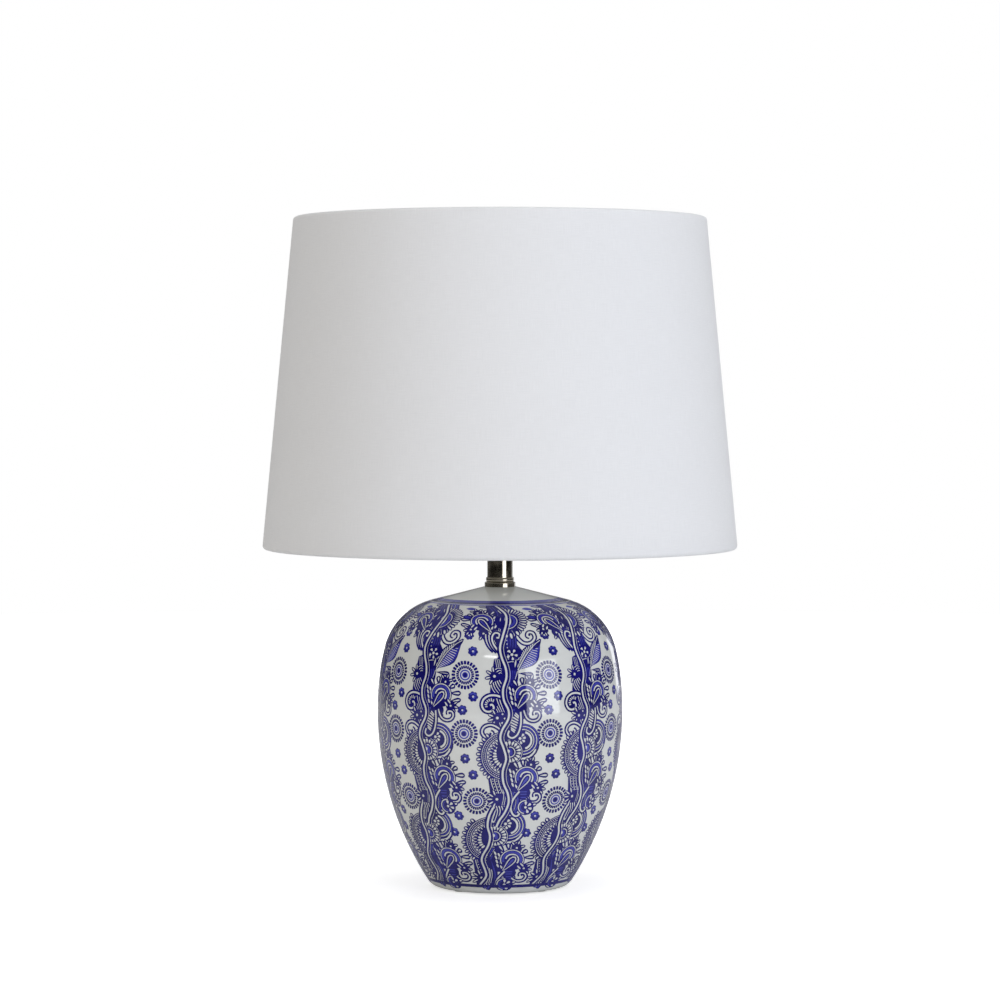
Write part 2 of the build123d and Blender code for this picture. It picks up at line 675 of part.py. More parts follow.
def bulb_globe():
    center = (0, GLOBE_CENTER_Z)
    inner = GLOBE_RADIUS - GLOBE_WALL
    rim_turn = atan2(-GLOBE_SEAT_DROP, globe_rim(0))
    inner_turn = atan2(-GLOBE_SEAT_DROP, globe_rim(GLOBE_WALL))
    return turned(
        point_at(center, GLOBE_RADIUS, rim_turn),
        between(center, GLOBE_RADIUS, rim_turn, radians(90)),
        (0, GLOBE_CENTER_Z + inner),
        between(center, inner, radians(90), inner_turn),
    )


def led_board():
    return ring(0, globe_rim(GLOBE_WALL) - LED_BOARD_MARGIN, GLOBE_Z, GLOBE_Z + BOARD_THICKNESS)


def leds():
    chip = Pos(LED_CIRCLE_RADIUS, 0, GLOBE_Z + BOARD_THICKNESS + LED_HEIGHT / 2)
    return around(chip * Box(LED_WIDTH, LED_LENGTH, LED_HEIGHT), LED_COUNT)


def driver_board():
    low = HOUSING_Z + HOUSING_WALL
    high = GLOBE_Z - HOUSING_WALL
    return Pos(0, 0, (low + high) / 2) * Box(BOARD_THICKNESS, DRIVER_WIDTH, high - low)


def driver_capacitor():
    low = HOUSING_Z + HOUSING_WALL + CAPACITOR_LIFT
    can = ring(0, CAPACITOR_RADIUS, low, low + CAPACITOR_HEIGHT)
    return Pos(BOARD_THICKNESS / 2 + LAYER_GAP + CAPACITOR_RADIUS, 0, 0) * can


# --- All pieces ------------------------------------------------------------------------------

PIECES = {
    "ceramic_jar": ceramic_jar(),
    "foot_pads": foot_pads(),
    "cord_grommet": cord_grommet(),
    "threaded_rod": threaded_rod(),
    "rod_nut": hex_nut(NUT_Z, NUT_HEIGHT),
    "spring_washer": spring_washer(),
    "steel_washer": ring(ROD_CLEAR_RADIUS, STEEL_WASHER_RADIUS, STEEL_WASHER_Z, RUBBER_WASHER_Z),
    "rubber_washer": ring(ROD_CLEAR_RADIUS, RUBBER_WASHER_RADIUS, RUBBER_WASHER_Z, RECESS_Z),
    "neck_gasket": ring(ROD_CLEAR_RADIUS, GASKET_RADIUS, MOUTH_Z, MOUTH_Z + GASKET_HEIGHT),
    "neck_collar": neck_collar(),
    "neck_tube": ring(NECK_RADIUS - NECK_WALL, NECK_RADIUS, NECK_Z, HOLDER_Z),
    "holder_cap": holder_cap(),
    "cap_locknut": hex_nut(BOSS_TOP_Z, LOCKNUT_HEIGHT),
    "holder_barrel": holder_barrel(),
    "contact_block": contact_block(),
    "terminal_screws": terminal_screws(),
    "screw_shell": screw_shell(),
    "centre_contact": centre_contact(),
    "seat_ring": seat_ring(),
    "lock_ring": lock_ring(),
    "shade_cover": shade_cover(),
    "shade_liner": shade_liner(),
    "top_ring_wire": hoop(UPPER_WIRE, WIRE_RADIUS),
    "bottom_ring_wire": hoop(LOWER_WIRE, WIRE_RADIUS),
    "fitter_ring": ring(FITTER_BORE_RADIUS, FITTER_RADIUS, FITTER_Z, FITTER_Z + FITTER_THICKNESS),
    "fitter_arms": fitter_arms(),
    "bulb_contact": bulb_contact(),
    "bulb_insulator": bulb_insulator(),
    "bulb_cap": bulb_cap(),
    "bulb_housing": bulb_housing(),
    "bulb_globe": bulb_globe(),
    "led_board": led_board(),
    "leds": leds(),
    "driver_board": driver_board(),
    "driver_capacitor": driver_capacitor(),
}

os.makedirs("parts", exist_ok=True)
for name, piece in PIECES.items():
    shape = Compound(children=piece) if isinstance(piece, list) else piece
    export_step(shape, f"parts/{name}.step")
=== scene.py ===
"""Looks of the ginger jar lamp: its glaze and blue print, its cloth shade, its metals and its bulb.

Sizes are named in millimetres, and meshes are made in metres. The front is -Y.
"""
from math import atan2, ceil, cos, pi, radians, sin, sqrt

import bmesh
import bpy
import numpy as np
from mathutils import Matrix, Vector, geometry


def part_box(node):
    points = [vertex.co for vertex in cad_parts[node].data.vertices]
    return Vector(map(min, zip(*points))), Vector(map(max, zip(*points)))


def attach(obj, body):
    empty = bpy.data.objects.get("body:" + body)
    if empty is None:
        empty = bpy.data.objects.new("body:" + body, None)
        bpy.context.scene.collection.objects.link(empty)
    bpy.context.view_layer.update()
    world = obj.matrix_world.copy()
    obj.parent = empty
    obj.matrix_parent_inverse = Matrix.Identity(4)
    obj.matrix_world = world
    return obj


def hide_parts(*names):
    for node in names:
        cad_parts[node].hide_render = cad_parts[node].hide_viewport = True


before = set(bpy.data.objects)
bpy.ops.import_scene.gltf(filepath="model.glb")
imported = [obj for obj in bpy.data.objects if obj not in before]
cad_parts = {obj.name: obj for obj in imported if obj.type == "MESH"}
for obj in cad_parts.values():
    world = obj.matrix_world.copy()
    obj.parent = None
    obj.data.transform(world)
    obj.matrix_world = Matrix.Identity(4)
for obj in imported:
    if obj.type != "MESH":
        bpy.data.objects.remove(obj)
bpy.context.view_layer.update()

MM = 0.001


def corner_mm(node, end):
    """The lowest (0) or highest (1) corner of a node of the frame, in millimetres."""
    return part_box(node)[end] / MM


# Jar: one straight cone and three arcs, above a rounded foot
FOOT_Z = corner_mm("ceramic_jar", 0).z
MOUTH_Z = corner_mm("ceramic_jar", 1).z
BELLY_RADIUS = corner_mm("ceramic_jar", 1).x
BELLY_HEIGHT = 132.4
MOUTH_RADIUS = 12.0
CONE_SLOPE = 14.6                   # degrees below level
CONE_TURN = radians(90 - CONE_SLOPE)    # way out of the cone, from level
SHOULDER_RADIUS = 48.6
SIDE_RADIUS = 175.6
FLANK_RADIUS = 237.0
SIDE_TURN = radians(3.9)
FOOT_ROUND = 8.0
JAR_WALL = 5.0
FOOT_RING_WIDTH = 9.5
RECESS_DEPTH = 19.0
BASE_THICKNESS = 6.0
RECESS_Z = FOOT_Z + RECESS_DEPTH
FLOOR_Z = RECESS_Z + BASE_THICKNESS
ROD_HOLE_RADIUS = 6.0
LEAD_HOLE_RADIUS = 5.05             # round the grommet
GLAZE_STEP = 2.4                    # between the points of the glaze's outline
INSIDE_STEP = 5.0                   # between the points of the hollow's outline
JAR_SIDES = 192
FOOT_EDGE_ROUND = 1.2
RECESS_ROUND = 2.5

# Print
VINE_COUNT = 9
VINE_TURN = 2 * pi / VINE_COUNT
VINE_PITCH = BELLY_RADIUS * VINE_TURN   # across the sector, measured at the belly
FRONT_VINE_TURN = radians(1.4)
PRINT_TOP, PRINT_BOTTOM = 43.2, 276.6   # along the glaze from the mouth's edge
PRINT_GRID = 3.0                        # most that a flat cell of the print may span
PRINT_RISE, PRINT_SINK = 0.10, 0.06     # of the print's layer out of the glaze and into it
TINY_CELL = 1e-6                        # area of a flat cell that is left out
SAME_POINT = 1e-5                       # distance at which two points of the drawing are one
WELD = 1e-8                             # the same on the layer, in metres
# Ring lines: where along the glaze each starts and ends, and whether it is full or thinned blue
RING_LINES = {
    "upper_wash_band": (32.5, 37.4, "wash"),
    "upper_ink_band": (37.4, 40.9, "ink"),
    "thin_ring_line": (42.2, 43.6, "wash"),
    "foot_ink_line": (271.2, 274.0, "ink"),
}
BAND_POINTS = 4                         # across a ring line

# Shade
COVER_THICKNESS = 0.5
RIM_RADIUS = 2.6                    # of the cloth's roll over each wire
COVER_RETURN = 10.0                 # of the turned-in edge
WIRE_RADIUS = 1.5
SHADE_SIDES = 360
SEAM_WIDTH = 9.0                    # where the cloth's two ends lie over each other, at the back
SEAM_LIFT = 0.45
SEAM_EDGE = SEAM_LIFT / 4           # run of the step at each end of the overlap
SEAM_MARGIN = 1.6                   # half widths of the overlap that hold no other thread
CLOTH_ROWS = 14                     # up the cloth's side
ARM_NOTCH_RADIUS = 1.9
ARM_NOTCH_START = 1.0               # inside the wire's centre
ARM_NOTCH_RUN = 3 * COVER_RETURN    # inwards and up
ARM_TURNS = (90, 210, 330)


# --- Nodes -----------------------------------------------------------------------------------

class Link:
    """A node's output that takes part in Python's arithmetic."""

    def __init__(self, nodes, socket):
        self.nodes = nodes
        self.socket = socket

    def output(self, name):
        """Another output of the same node."""
        return Link(self.nodes, self.socket.node.outputs[name])

    def __add__(self, other):
        return self.nodes.maths("ADD", self, other)

    def __sub__(self, other):
        return self.nodes.maths("SUBTRACT", self, other)

    def __rsub__(self, other):
        return self.nodes.maths("SUBTRACT", other, self)

    def __mul__(self, other):
        return self.nodes.maths("MULTIPLY", self, other)

    __radd__ = __add__
    __rmul__ = __mul__


class Nodes:
    """A node tree, filled by type, settings and the values or links of sockets."""

    def __init__(self, tree):
        self.tree = tree
        tree.nodes.clear()

    def node(self, kind, settings=(), values=(), output=0):
        whole = kind.startswith(("Geometry", "Function", "NodeGroup"))
        node = self.tree.nodes.new(kind if whole else "ShaderNode" + kind)
        for name, value in dict(settings).items():
            if name == "stops":
                set_stops(node.color_ramp.elements, value)
            else:
                setattr(node, name, value)
        for name, value in dict(values).items():
            for one in value if isinstance(value, list) else [value]:
                if isinstance(one, Link):
                    self.tree.links.new(one.socket, node.inputs[name])
                else:
                    node.inputs[name].default_value = one
        return Link(self, node.outputs[output]) if node.outputs else None

    def maths(self, operation, *values):
        return self.node("Math", {"operation": operation}, dict(enumerate(values)))

    def mix(self, factor, first, second):
        """From the first colour to the second as the factor goes from 0 to 1."""
        return self.node("Mix", {"data_type": "RGBA"}, {0: factor, 6: first, 7: second}, 2)

    def ramp(self, value, low, high):
        """0 below one value, 1 above another, and a smooth rise between them."""
        sockets = {"Value": value, "From Min": low, "From Max": high}
        return self.node("MapRange", {"interpolation_type": "SMOOTHSTEP"}, sockets)


def set_stops(elements, stops):
    while len(elements) < len(stops):
        elements.new(1.0)
    for element, (position, color) in zip(elements, stops):
        element.position = position
        element.color = color


def paint(code):
    """A colour as light, from its code on a screen."""
    parts = [int(code[i:i + 2], 16) / 255 for i in (0, 2, 4)]
    return (*(p / 12.92 if p <= 0.04045 else ((p + 0.055) / 1.055) ** 2.4 for p in parts), 1.0)


class Finish(Nodes):
    """A material with one surface shader, on the piece's own coordinates."""

    def __init__(self, name):
        self.material = bpy.data.materials.new(name)
        self.material.use_nodes = True
        super().__init__(self.material.node_tree)
        self.place = self.node("TexCoord", output="Object")

    def scaled(self, scale, place=None):
        return self.node("Mapping", values={"Vector": place or self.place, "Scale": scale})

    def noise(self, size, detail=2.0, place=None):
        """Soft noise from 0 to 1, whose lumps are about this many millimetres."""
        sockets = {"Vector": place or self.place, "Scale": 1 / (size * MM), "Detail": detail}
        return self.node("TexNoise", values=sockets)

    def cells(self, size):
        """Distance from scattered points that lie about this many millimetres apart."""
        return self.node("TexVoronoi", values={"Vector": self.place, "Scale": 1 / (size * MM)})

    def surface(self, color, roughness, height=None, depth=0.0, **rest):
        """The shader. The height, from 0 to 1, is a relief this many millimetres deep."""
        sockets = {
            name.replace("_", " ").title().replace("Ior", "IOR"): value for name, value in rest.items()
        }
        sockets["Base Color"] = color
        sockets["Roughness"] = roughness
        if height is not None:
            sockets["Normal"] = self.node("Bump", values={"Height": height, "Distance": depth * MM})
        shader = self.node("BsdfPrincipled", values=sockets)
        self.node("OutputMaterial", values={"Surface": shader})
        return self.material


# --- Finishes --------------------------------------------------------------------------------

# The clear gloss over the jar's ground and its print, with a soft ripple
GLOSS = {"coat_weight": 1.0, "coat_roughness": 0.06, "specular_ior_level": 0.03}
UNDER_GLOSS_ROUGHNESS = 0.3
RIPPLE_SIZE, RIPPLE_DEPTH = 22, 0.05

THREAD_PITCH = 0.62                 # of the shade's weave
SLUB_SCALE = (2.6, 0.09)            # of a thicker place, across the thread and along it


def glaze():
    """Pale grey-white glaze with faint clouds and a few dark specks."""
    f = Finish("glaze")
    ground = f.mix(f.noise(70, 3), paint("D0D2D0"), paint("D7D9D8"))
    speck = 1 - f.ramp(f.cells(6), 0.035, 0.07)
    rare = f.ramp(f.noise(11), 0.62, 0.68)
    color = f.mix(speck * rare * 0.5, ground, paint("6F7078"))
    return f.surface(color, UNDER_GLOSS_ROUGHNESS, f.noise(RIPPLE_SIZE), RIPPLE_DEPTH, **GLOSS)


def print_blue(name, low, high):
    """Blue under the glaze, thinner and denser in places."""
    f = Finish(name)
    density = f.noise(26, 3) * 0.7 + f.noise(1.6) * 0.3
    color = f.mix(f.ramp(density, 0.35, 0.65), paint(low), paint(high))
    return f.surface(color, UNDER_GLOSS_ROUGHNESS, f.noise(RIPPLE_SIZE), RIPPLE_DEPTH, **GLOSS)


def cotton():
    """White plain-weave cotton with slubs along both threads."""
    f = Finish("shade_cotton")
    flat = f.node("UVMap", {"uv_map": "cloth"})
    warp = f.noise(1, 2, f.scaled((*SLUB_SCALE, 1), flat))
    weft = f.noise(1, 2, f.scaled((*SLUB_SCALE[::-1], 1), flat))
    slub = warp * 0.5 + weft * 0.5
    place = f.node("SeparateXYZ", values={"Vector": flat})
    turn = 2 * pi / (THREAD_PITCH * MM)
    over, under = (f.maths("SINE", place.output(axis) * turn) for axis in "XY")
    weave = over * under * 0.5 + 0.5
    color = f.mix(f.ramp(slub, 0.3, 0.7), paint("E0E1E3"), paint("E6E7E9"))
    color = f.mix(weave * 0.1, color, paint("CDCED2"))
    return f.surface(color, 0.9, weave * 0.6 + slub * 0.4, 0.12, sheen_weight=0.15, specular_ior_level=0.2)


def mottled(name, low, high, roughness, lump=12, grain=0.6, depth=0.02, **rest):
    """A finish that varies a little between two tones, with a fine grain."""
    f = Finish(name)
    cloud = f.noise(lump, 3)
    fine = f.noise(grain)
    rough = (cloud - 0.5) * 0.12 + (fine - 0.5) * 0.08 + roughness
    color = f.mix(f.ramp(cloud * 0.7 + fine * 0.3, 0.3, 0.7), paint(low), paint(high))
    return f.surface(color, rough, fine, depth, **rest)


def turned_metal(name, low, high, roughness, depth=0.01, ring=0.18, **rest):
    """Metal with the fine rings of turning or polishing, and faint smudges."""
    f = Finish(name)
    rings = f.noise(1, 3, f.scaled((0.02 / MM, 0.02 / MM, 1 / (ring * MM))))
    smudge = f.ramp(f.noise(9, 3), 0.35, 0.7)
    color = f.mix(smudge, paint(low), paint(high))
    return f.surface(color, smudge * 0.08 + rings * 0.05 + roughness, rings, depth, metallic=1.0, **rest)


FINISHES = {
    "glaze": glaze(),
    "ink": print_blue("print_ink", "0F0D58", "1A1876"),
    "wash": print_blue("print_wash", "2A2994", "474DB0"),
    "cotton": cotton(),
    "liner": mottled("shade_liner", "E4E4E0", "EFEFEC", 0.6, 60, 1.5, 0.03),
    "nickel": turned_metal("black_nickel", "8F897B", "9F988A", 0.05, 0.004),
    "zinc": turned_metal("zinc_plate", "9C9D9A", "B4B5B2", 0.32, 0.02),
    "foot_rubber": mottled("foot_rubber", "D5D5D0", "DEDEDA", 0.75, 4, 0.4, 0.04),
    "grommet_rubber": mottled("grommet_rubber", "CDCDC9", "D8D8D4", 0.7, 5, 0.4, 0.03),
    "washer_rubber": mottled("washer_rubber", "202021", "2E2E2F", 0.7, 4, 0.4, 0.04),
    "holder": mottled("holder_moulding", "DEDEDA", "E6E6E2", 0.35, 14, 0.8, 0.015, coat_weight=0.2),
    "porcelain": mottled("porcelain", "D6D5CE", "E2E1DB", 0.45, 6, 0.5, 0.03),
    "brass": turned_metal("nickelled_brass", "BDB092", "CFC4A8", 0.2, 0.01),
    "wire": mottled("white_powder_coat", "DADAD8", "E3E3E1", 0.4, 10, 0.9, 0.06, coat_weight=0.15),
    "black_glass": mottled("black_glass", "0E0E0F", "1A1A1C", 0.12, 3, 0.5, 0.01, coat_weight=0.6),
    "solder": mottled("solder", "9B9B9D", "B3B3B5", 0.34, 1.5, 0.4, 0.08, metallic=1.0),
    "aluminium": turned_metal("rolled_aluminium", "BBBBBD", "CDCDCF", 0.24, 0.012),
    "bulb_plastic": mottled("bulb_moulding", "E0E0DD", "E8E8E5", 0.42, 12, 0.5, 0.015),
    "opal": mottled("opal_diffuser", "EAEAE6", "F1F1EE", 0.3, 20, 0.8, 0.008, subsurface_weight=0.15,
                    subsurface_scale=0.004),
    "board": mottled("white_solder_mask", "DADCDC", "E6E8E8", 0.3, 3, 0.5, 0.01),
    "phosphor": mottled("phosphor", "D9BC4A", "E6CD62", 0.55, 0.8, 0.2, 0.02),
    "green_board": mottled("circuit_board", "1D5A33", "28703F", 0.3, 1.8, 0.4, 0.02),
    "sleeve": mottled("capacitor_sleeve", "15151C", "23232E", 0.25, 3, 0.6, 0.01),
}

NODE_FINISHES = {
    "foot_pads": "foot_rubber",
    "cord_grommet": "grommet_rubber",
    "threaded_rod": "zinc",
    "rod_nut": "zinc",
    "spring_washer": "zinc",
    "steel_washer": "zinc",
    "rubber_washer": "washer_rubber",
    "neck_gasket": "washer_rubber",
    "neck_collar": "nickel",
    "neck_tube": "nickel",
    "holder_cap": "holder",
    "cap_locknut": "zinc",
    "holder_barrel": "holder",
    "contact_block": "porcelain",
    "terminal_screws": "zinc",
    "screw_shell": "brass",
    "centre_contact": "brass",
    "seat_ring": "holder",
    "lock_ring": "holder",
    "shade_liner": "liner",
    "top_ring_wire": "wire",
    "bottom_ring_wire": "wire",
    "fitter_ring": "wire",
    "fitter_arms": "wire",
    "bulb_insulator": "black_glass",
    "bulb_contact": "solder",
    "bulb_cap": "aluminium",
    "bulb_housing": "bulb_plastic",
    "bulb_globe": "opal",
    "led_board": "board",
    "leds": "phosphor",
    "driver_board": "green_board",
    "driver_capacitor": "sleeve",
}
for node, finish in NODE_FINISHES.items():
    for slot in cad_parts[node].material_slots:
        slot.material = FINISHES[finish]


# --- Meshes ----------------------------------------------------------------------------------

SHARP = radians(40)                 # between two faces that meet at an edge


def piece(name, points, faces, finish, body, slot):
    """A piece from points in millimetres, that rides on a body."""
    mesh = bpy.data.meshes.new(name)
    mesh.from_pydata((np.array(points) * MM).tolist(), [], faces)
    mesh.materials.append(FINISHES[finish])
    return shown(name, mesh, body)


def shown(name, mesh, body):
    """A mesh as a smooth piece that rides on a body."""
    mesh.shade_smooth()
    mesh.set_sharp_from_angle(angle=SHARP)
    thing = bpy.data.objects.new(name, mesh)
    bpy.context.scene.collection.objects.link(thing)
    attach(thing, body)
    return thing


def turned(outline, turns, lift=None):
    """Points and faces of a closed outline of (radius, height) points, turned about Z.

    The outline runs so that what it holds is on its left. A lift moves points outwards by their
    number in the outline and their turn.
    """
    outline = np.array(outline, float)
    count, sides = len(outline), len(turns)
    radius = np.repeat(outline[:, 0][:, None], sides, axis=1)
    if lift is not None:
        radius = radius + lift
    x = radius * np.sin(turns)
    y = -radius * np.cos(turns)
    z = np.repeat(outline[:, 1][:, None], sides, axis=1)
    points = np.stack([x, y, z], axis=2).reshape(-1, 3)
    faces = []
    for row in range(count):
        after = (row + 1) % count
        for side in range(sides):
            ahead = (side + 1) % sides
            here, there = row * sides, after * sides
            faces.append((here + side, here + ahead, there + ahead, there + side))
    return points, faces


def evenly(count):
    return np.arange(count) * 2 * pi / count


def cut(thing, cutter):
    """Takes the cutter's form out of a piece."""
    tool = bpy.data.objects.new("cutter", cutter)
    bpy.context.scene.collection.objects.link(tool)
    modifier = thing.modifiers.new("Cut", "BOOLEAN")
    modifier.object = tool
    modifier.solver = "EXACT"
    graph = bpy.context.evaluated_depsgraph_get()
    mesh = bpy.data.meshes.new_from_object(thing.evaluated_get(graph), depsgraph=graph)
    thing.modifiers.clear()
    thing.data = mesh
    bpy.data.objects.remove(tool)


def bars(radius, ends, sides=24):
    """Round bars as one mesh, each from one end to the other, in millimetres."""
    shape = bmesh.new()
    for first, last in ends:
        run = Vector(last) - Vector(first)
        turn = run.to_track_quat("Z", "Y").to_matrix().to_4x4()
        turn.translation = (Vector(first) + Vector(last)) / 2 * MM
        bmesh.ops.create_cone(
            shape, cap_ends=True, segments=sides, radius1=radius * MM, radius2=radius * MM,
            depth=run.length * MM, matrix=turn,
        )
    mesh = bpy.data.meshes.new("bars")
    shape.to_mesh(mesh)
    shape.free()
    return mesh


# --- Jar -------------------------------------------------------------------------------------

def point_at(center, radius, turn):
    return (center[0] + radius * cos(turn), center[1] + radius * sin(turn))


def shoulder_center():
    """Centre of the arc that touches the cone's line and lies inside the side's arc."""
    reach = SIDE_RADIUS - SHOULDER_RADIUS
    out = (cos(CONE_TURN), sin(CONE_TURN))
    start = (MOUTH_RADIUS - SHOULDER_RADIUS * out[0], MOUTH_Z - SHOULDER_RADIUS * out[1])
    gap = (start[0] - SIDE_CENTER[0], start[1] - SIDE_CENTER[1])
    along = (out[1], -out[0])
    ahead = gap[0] * along[0] + gap[1] * along[1]
    run = sqrt(ahead ** 2 - gap[0] ** 2 - gap[1] ** 2 + reach ** 2) - ahead
    return (start[0] + run * along[0], start[1] + run * along[1])


FLANK_CENTER = (BELLY_RADIUS - FLANK_RADIUS, FOOT_Z + BELLY_HEIGHT)
SIDE_CENTER = point_at(FLANK_CENTER, FLANK_RADIUS - SIDE_RADIUS, SIDE_TURN)
SHOULDER_CENTER = shoulder_center()
SHOULDER_TURN = atan2(SHOULDER_CENTER[1] - SIDE_CENTER[1], SHOULDER_CENTER[0] - SIDE_CENTER[0])
FOOT_DROP = FLANK_CENTER[1] - FOOT_Z - FOOT_ROUND
FOOT_CENTER = (FLANK_CENTER[0] + sqrt((FLANK_RADIUS - FOOT_ROUND) ** 2 - FOOT_DROP ** 2), FOOT_Z + FOOT_ROUND)
FOOT_TURN = atan2(-FOOT_DROP, FOOT_CENTER[0] - FLANK_CENTER[0])
RECESS_RADIUS = FOOT_CENTER[0] - FOOT_RING_WIDTH


def bend(center, radius, first, last, step):
    """Points of an arc as radius, height and way out."""
    count = max(2, ceil(abs(last - first) * radius / step))
    turns = np.linspace(first, last, count + 1)
    return np.stack([center[0] + radius * np.cos(turns), center[1] + radius * np.sin(turns), turns], 1)


def jar_line(inset, step, low_turn):
    """The jar's side from its mouth down to a turn of the flank, inset from the glaze."""
    parts = [[(MOUTH_RADIUS, MOUTH_Z - inset / sin(CONE_TURN), CONE_TURN)]]
    for center, radius, first, last in (
        (SHOULDER_CENTER, SHOULDER_RADIUS, CONE_TURN, SHOULDER_TURN),
        (SIDE_CENTER, SIDE_RADIUS, SHOULDER_TURN, SIDE_TURN),
        (FLANK_CENTER, FLANK_RADIUS, SIDE_TURN, low_turn),
    ):
        run = bend(center, radius - inset, first, last, step)
        parts.append(run if len(parts) == 1 else run[1:])
    return np.concatenate(parts)


GLAZE_LINE = np.concatenate([
    jar_line(0.0, GLAZE_STEP, FOOT_TURN),
    bend(FOOT_CENTER, FOOT_ROUND, FOOT_TURN, -pi / 2, GLAZE_STEP / 2)[1:],
])
GLAZE_RUN = np.concatenate([[0.0], np.cumsum(np.hypot(*np.diff(GLAZE_LINE[:, :2], axis=0).T))])


def on_glaze(run, rise=0.0):
    """Radius and height of the glaze so far along it from the mouth's edge, or of a place above it."""
    radius, height, turn = (np.interp(run, GLAZE_RUN, GLAZE_LINE[:, i]) for i in range(3))
    return radius + rise * np.cos(turn), height + rise * np.sin(turn)


def rounded(before, at, after, radius, steps=5):
    """Points of a square corner's round."""
    before, at, after = (np.array(p, float) for p in (before, at, after))
    back = (before - at) / np.linalg.norm(before - at) * radius
    on = (after - at) / np.linalg.norm(after - at) * radius
    turns = np.linspace(0, pi / 2, steps)
    return [at + back + on - on * cos(t) - back * sin(t) for t in turns]


def jar_outline():
    """The jar's wall from the foot up the glaze, in at the mouth and back through the hollow."""
    flank = FLANK_RADIUS - JAR_WALL
    rise = FLANK_CENTER[1] - FLOOR_Z
    low_turn = -atan2(rise, sqrt(flank ** 2 - rise ** 2))
    hollow = jar_line(JAR_WALL, INSIDE_STEP, low_turn)[:, :2]
    foot = (RECESS_RADIUS, FOOT_Z)
    roof = (RECESS_RADIUS, RECESS_Z)
    return [
        *GLAZE_LINE[::-1, :2],
        (ROD_HOLE_RADIUS, MOUTH_Z),
        (ROD_HOLE_RADIUS, hollow[0][1]),
        *hollow,
        (ROD_HOLE_RADIUS, FLOOR_Z),
        (ROD_HOLE_RADIUS, RECESS_Z),
        *rounded((0, RECESS_Z), roof, foot, RECESS_ROUND),
        *rounded(roof, foot, (BELLY_RADIUS, FOOT_Z), FOOT_EDGE_ROUND),
    ]


jar = piece("jar_glaze", *turned(jar_outline(), evenly(JAR_SIDES)), "glaze", "lamp", "glaze")
grommet_low, grommet_high = corner_mm("cord_grommet", 0), corner_mm("cord_grommet", 1)
lead_z = (grommet_low.z + grommet_high.z) / 2
cut(jar, bars(LEAD_HOLE_RADIUS, [((0, RECESS_RADIUS / 2, lead_z), (0, BELLY_RADIUS, lead_z))]))
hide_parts("ceramic_jar")

# --- Drawing the print -----------------------------------------------------------------------
# One vine of the print is drawn flat, in millimetres: across from the vine's middle, and down
# the jar's side from the edge of its mouth. Each shape covers what was drawn before it.

BARE, WASH, INK = 0, 1, 2      # bare glaze, thinned blue, full blue
EDGE = 1.2                     # width of a drawn outline
BARE_LINE_SHARE = 0.86         # of the width given for a bare line
OUTLINE_SHARE = 1.12           # of the width given for an open form's outline
OVAL = ((0.0, 0.0), (0.1, 0.6), (0.3, 0.93), (0.5, 1.0), (0.7, 0.93), (0.9, 0.6), (1.0, 0.0))
DROP = ((0.0, 0.0), (0.3, 0.5), (0.6, 0.92), (0.8, 1.0), (0.94, 0.62), (1.0, 0.0))
LEAF = ((0.0, 0.0), (0.15, 0.5), (0.35, 0.93), (0.55, 1.0), (0.78, 0.66), (1.0, 0.0))
BAR = ((0.0, 0.0), (0.12, 1.0), (0.88, 1.0), (1.0, 0.0))


def spot(center, radius, angle):
    """The point of a circle at an angle in degrees, 0 to the right and 90 straight down."""
    turn = radians(angle)
    return (center[0] + radius * cos(turn), center[1] + radius * sin(turn))


def arc(center, radius, first, last, step=15.0):
    count = max(2, round(abs(last - first) / step))
    return [spot(center, radius, first + (last - first) * i / count) for i in range(count + 1)]


def flow(*points, steps=4):
    """A smooth line through the points."""
    p = np.array([points[0], *points, points[-1]], float)
    out = []
    for a, b, c, d in zip(p[:-3], p[1:-2], p[2:-1], p[3:]):
        for k in range(steps):
            t = k / steps
            curve = (2 * a - 5 * b + 4 * c - d) * t ** 2 + (3 * (b - c) + d - a) * t ** 3
            out.append((2 * b + (c - a) * t + curve) / 2)
    return [*out, p[-1]]


def left_of(path):
    """Unit vectors to the left of a line's run."""
    run = np.gradient(np.array(path, float), axis=0)
    run /= np.linalg.norm(run, axis=1, keepdims=True) + 1e-9
    return np.stack([run[:, 1], -run[:, 0]], 1)


def beside(path, distance):
    """A line that keeps its distance from another, to its left as it runs."""
    return np.array(path, float) + left_of(path) * distance


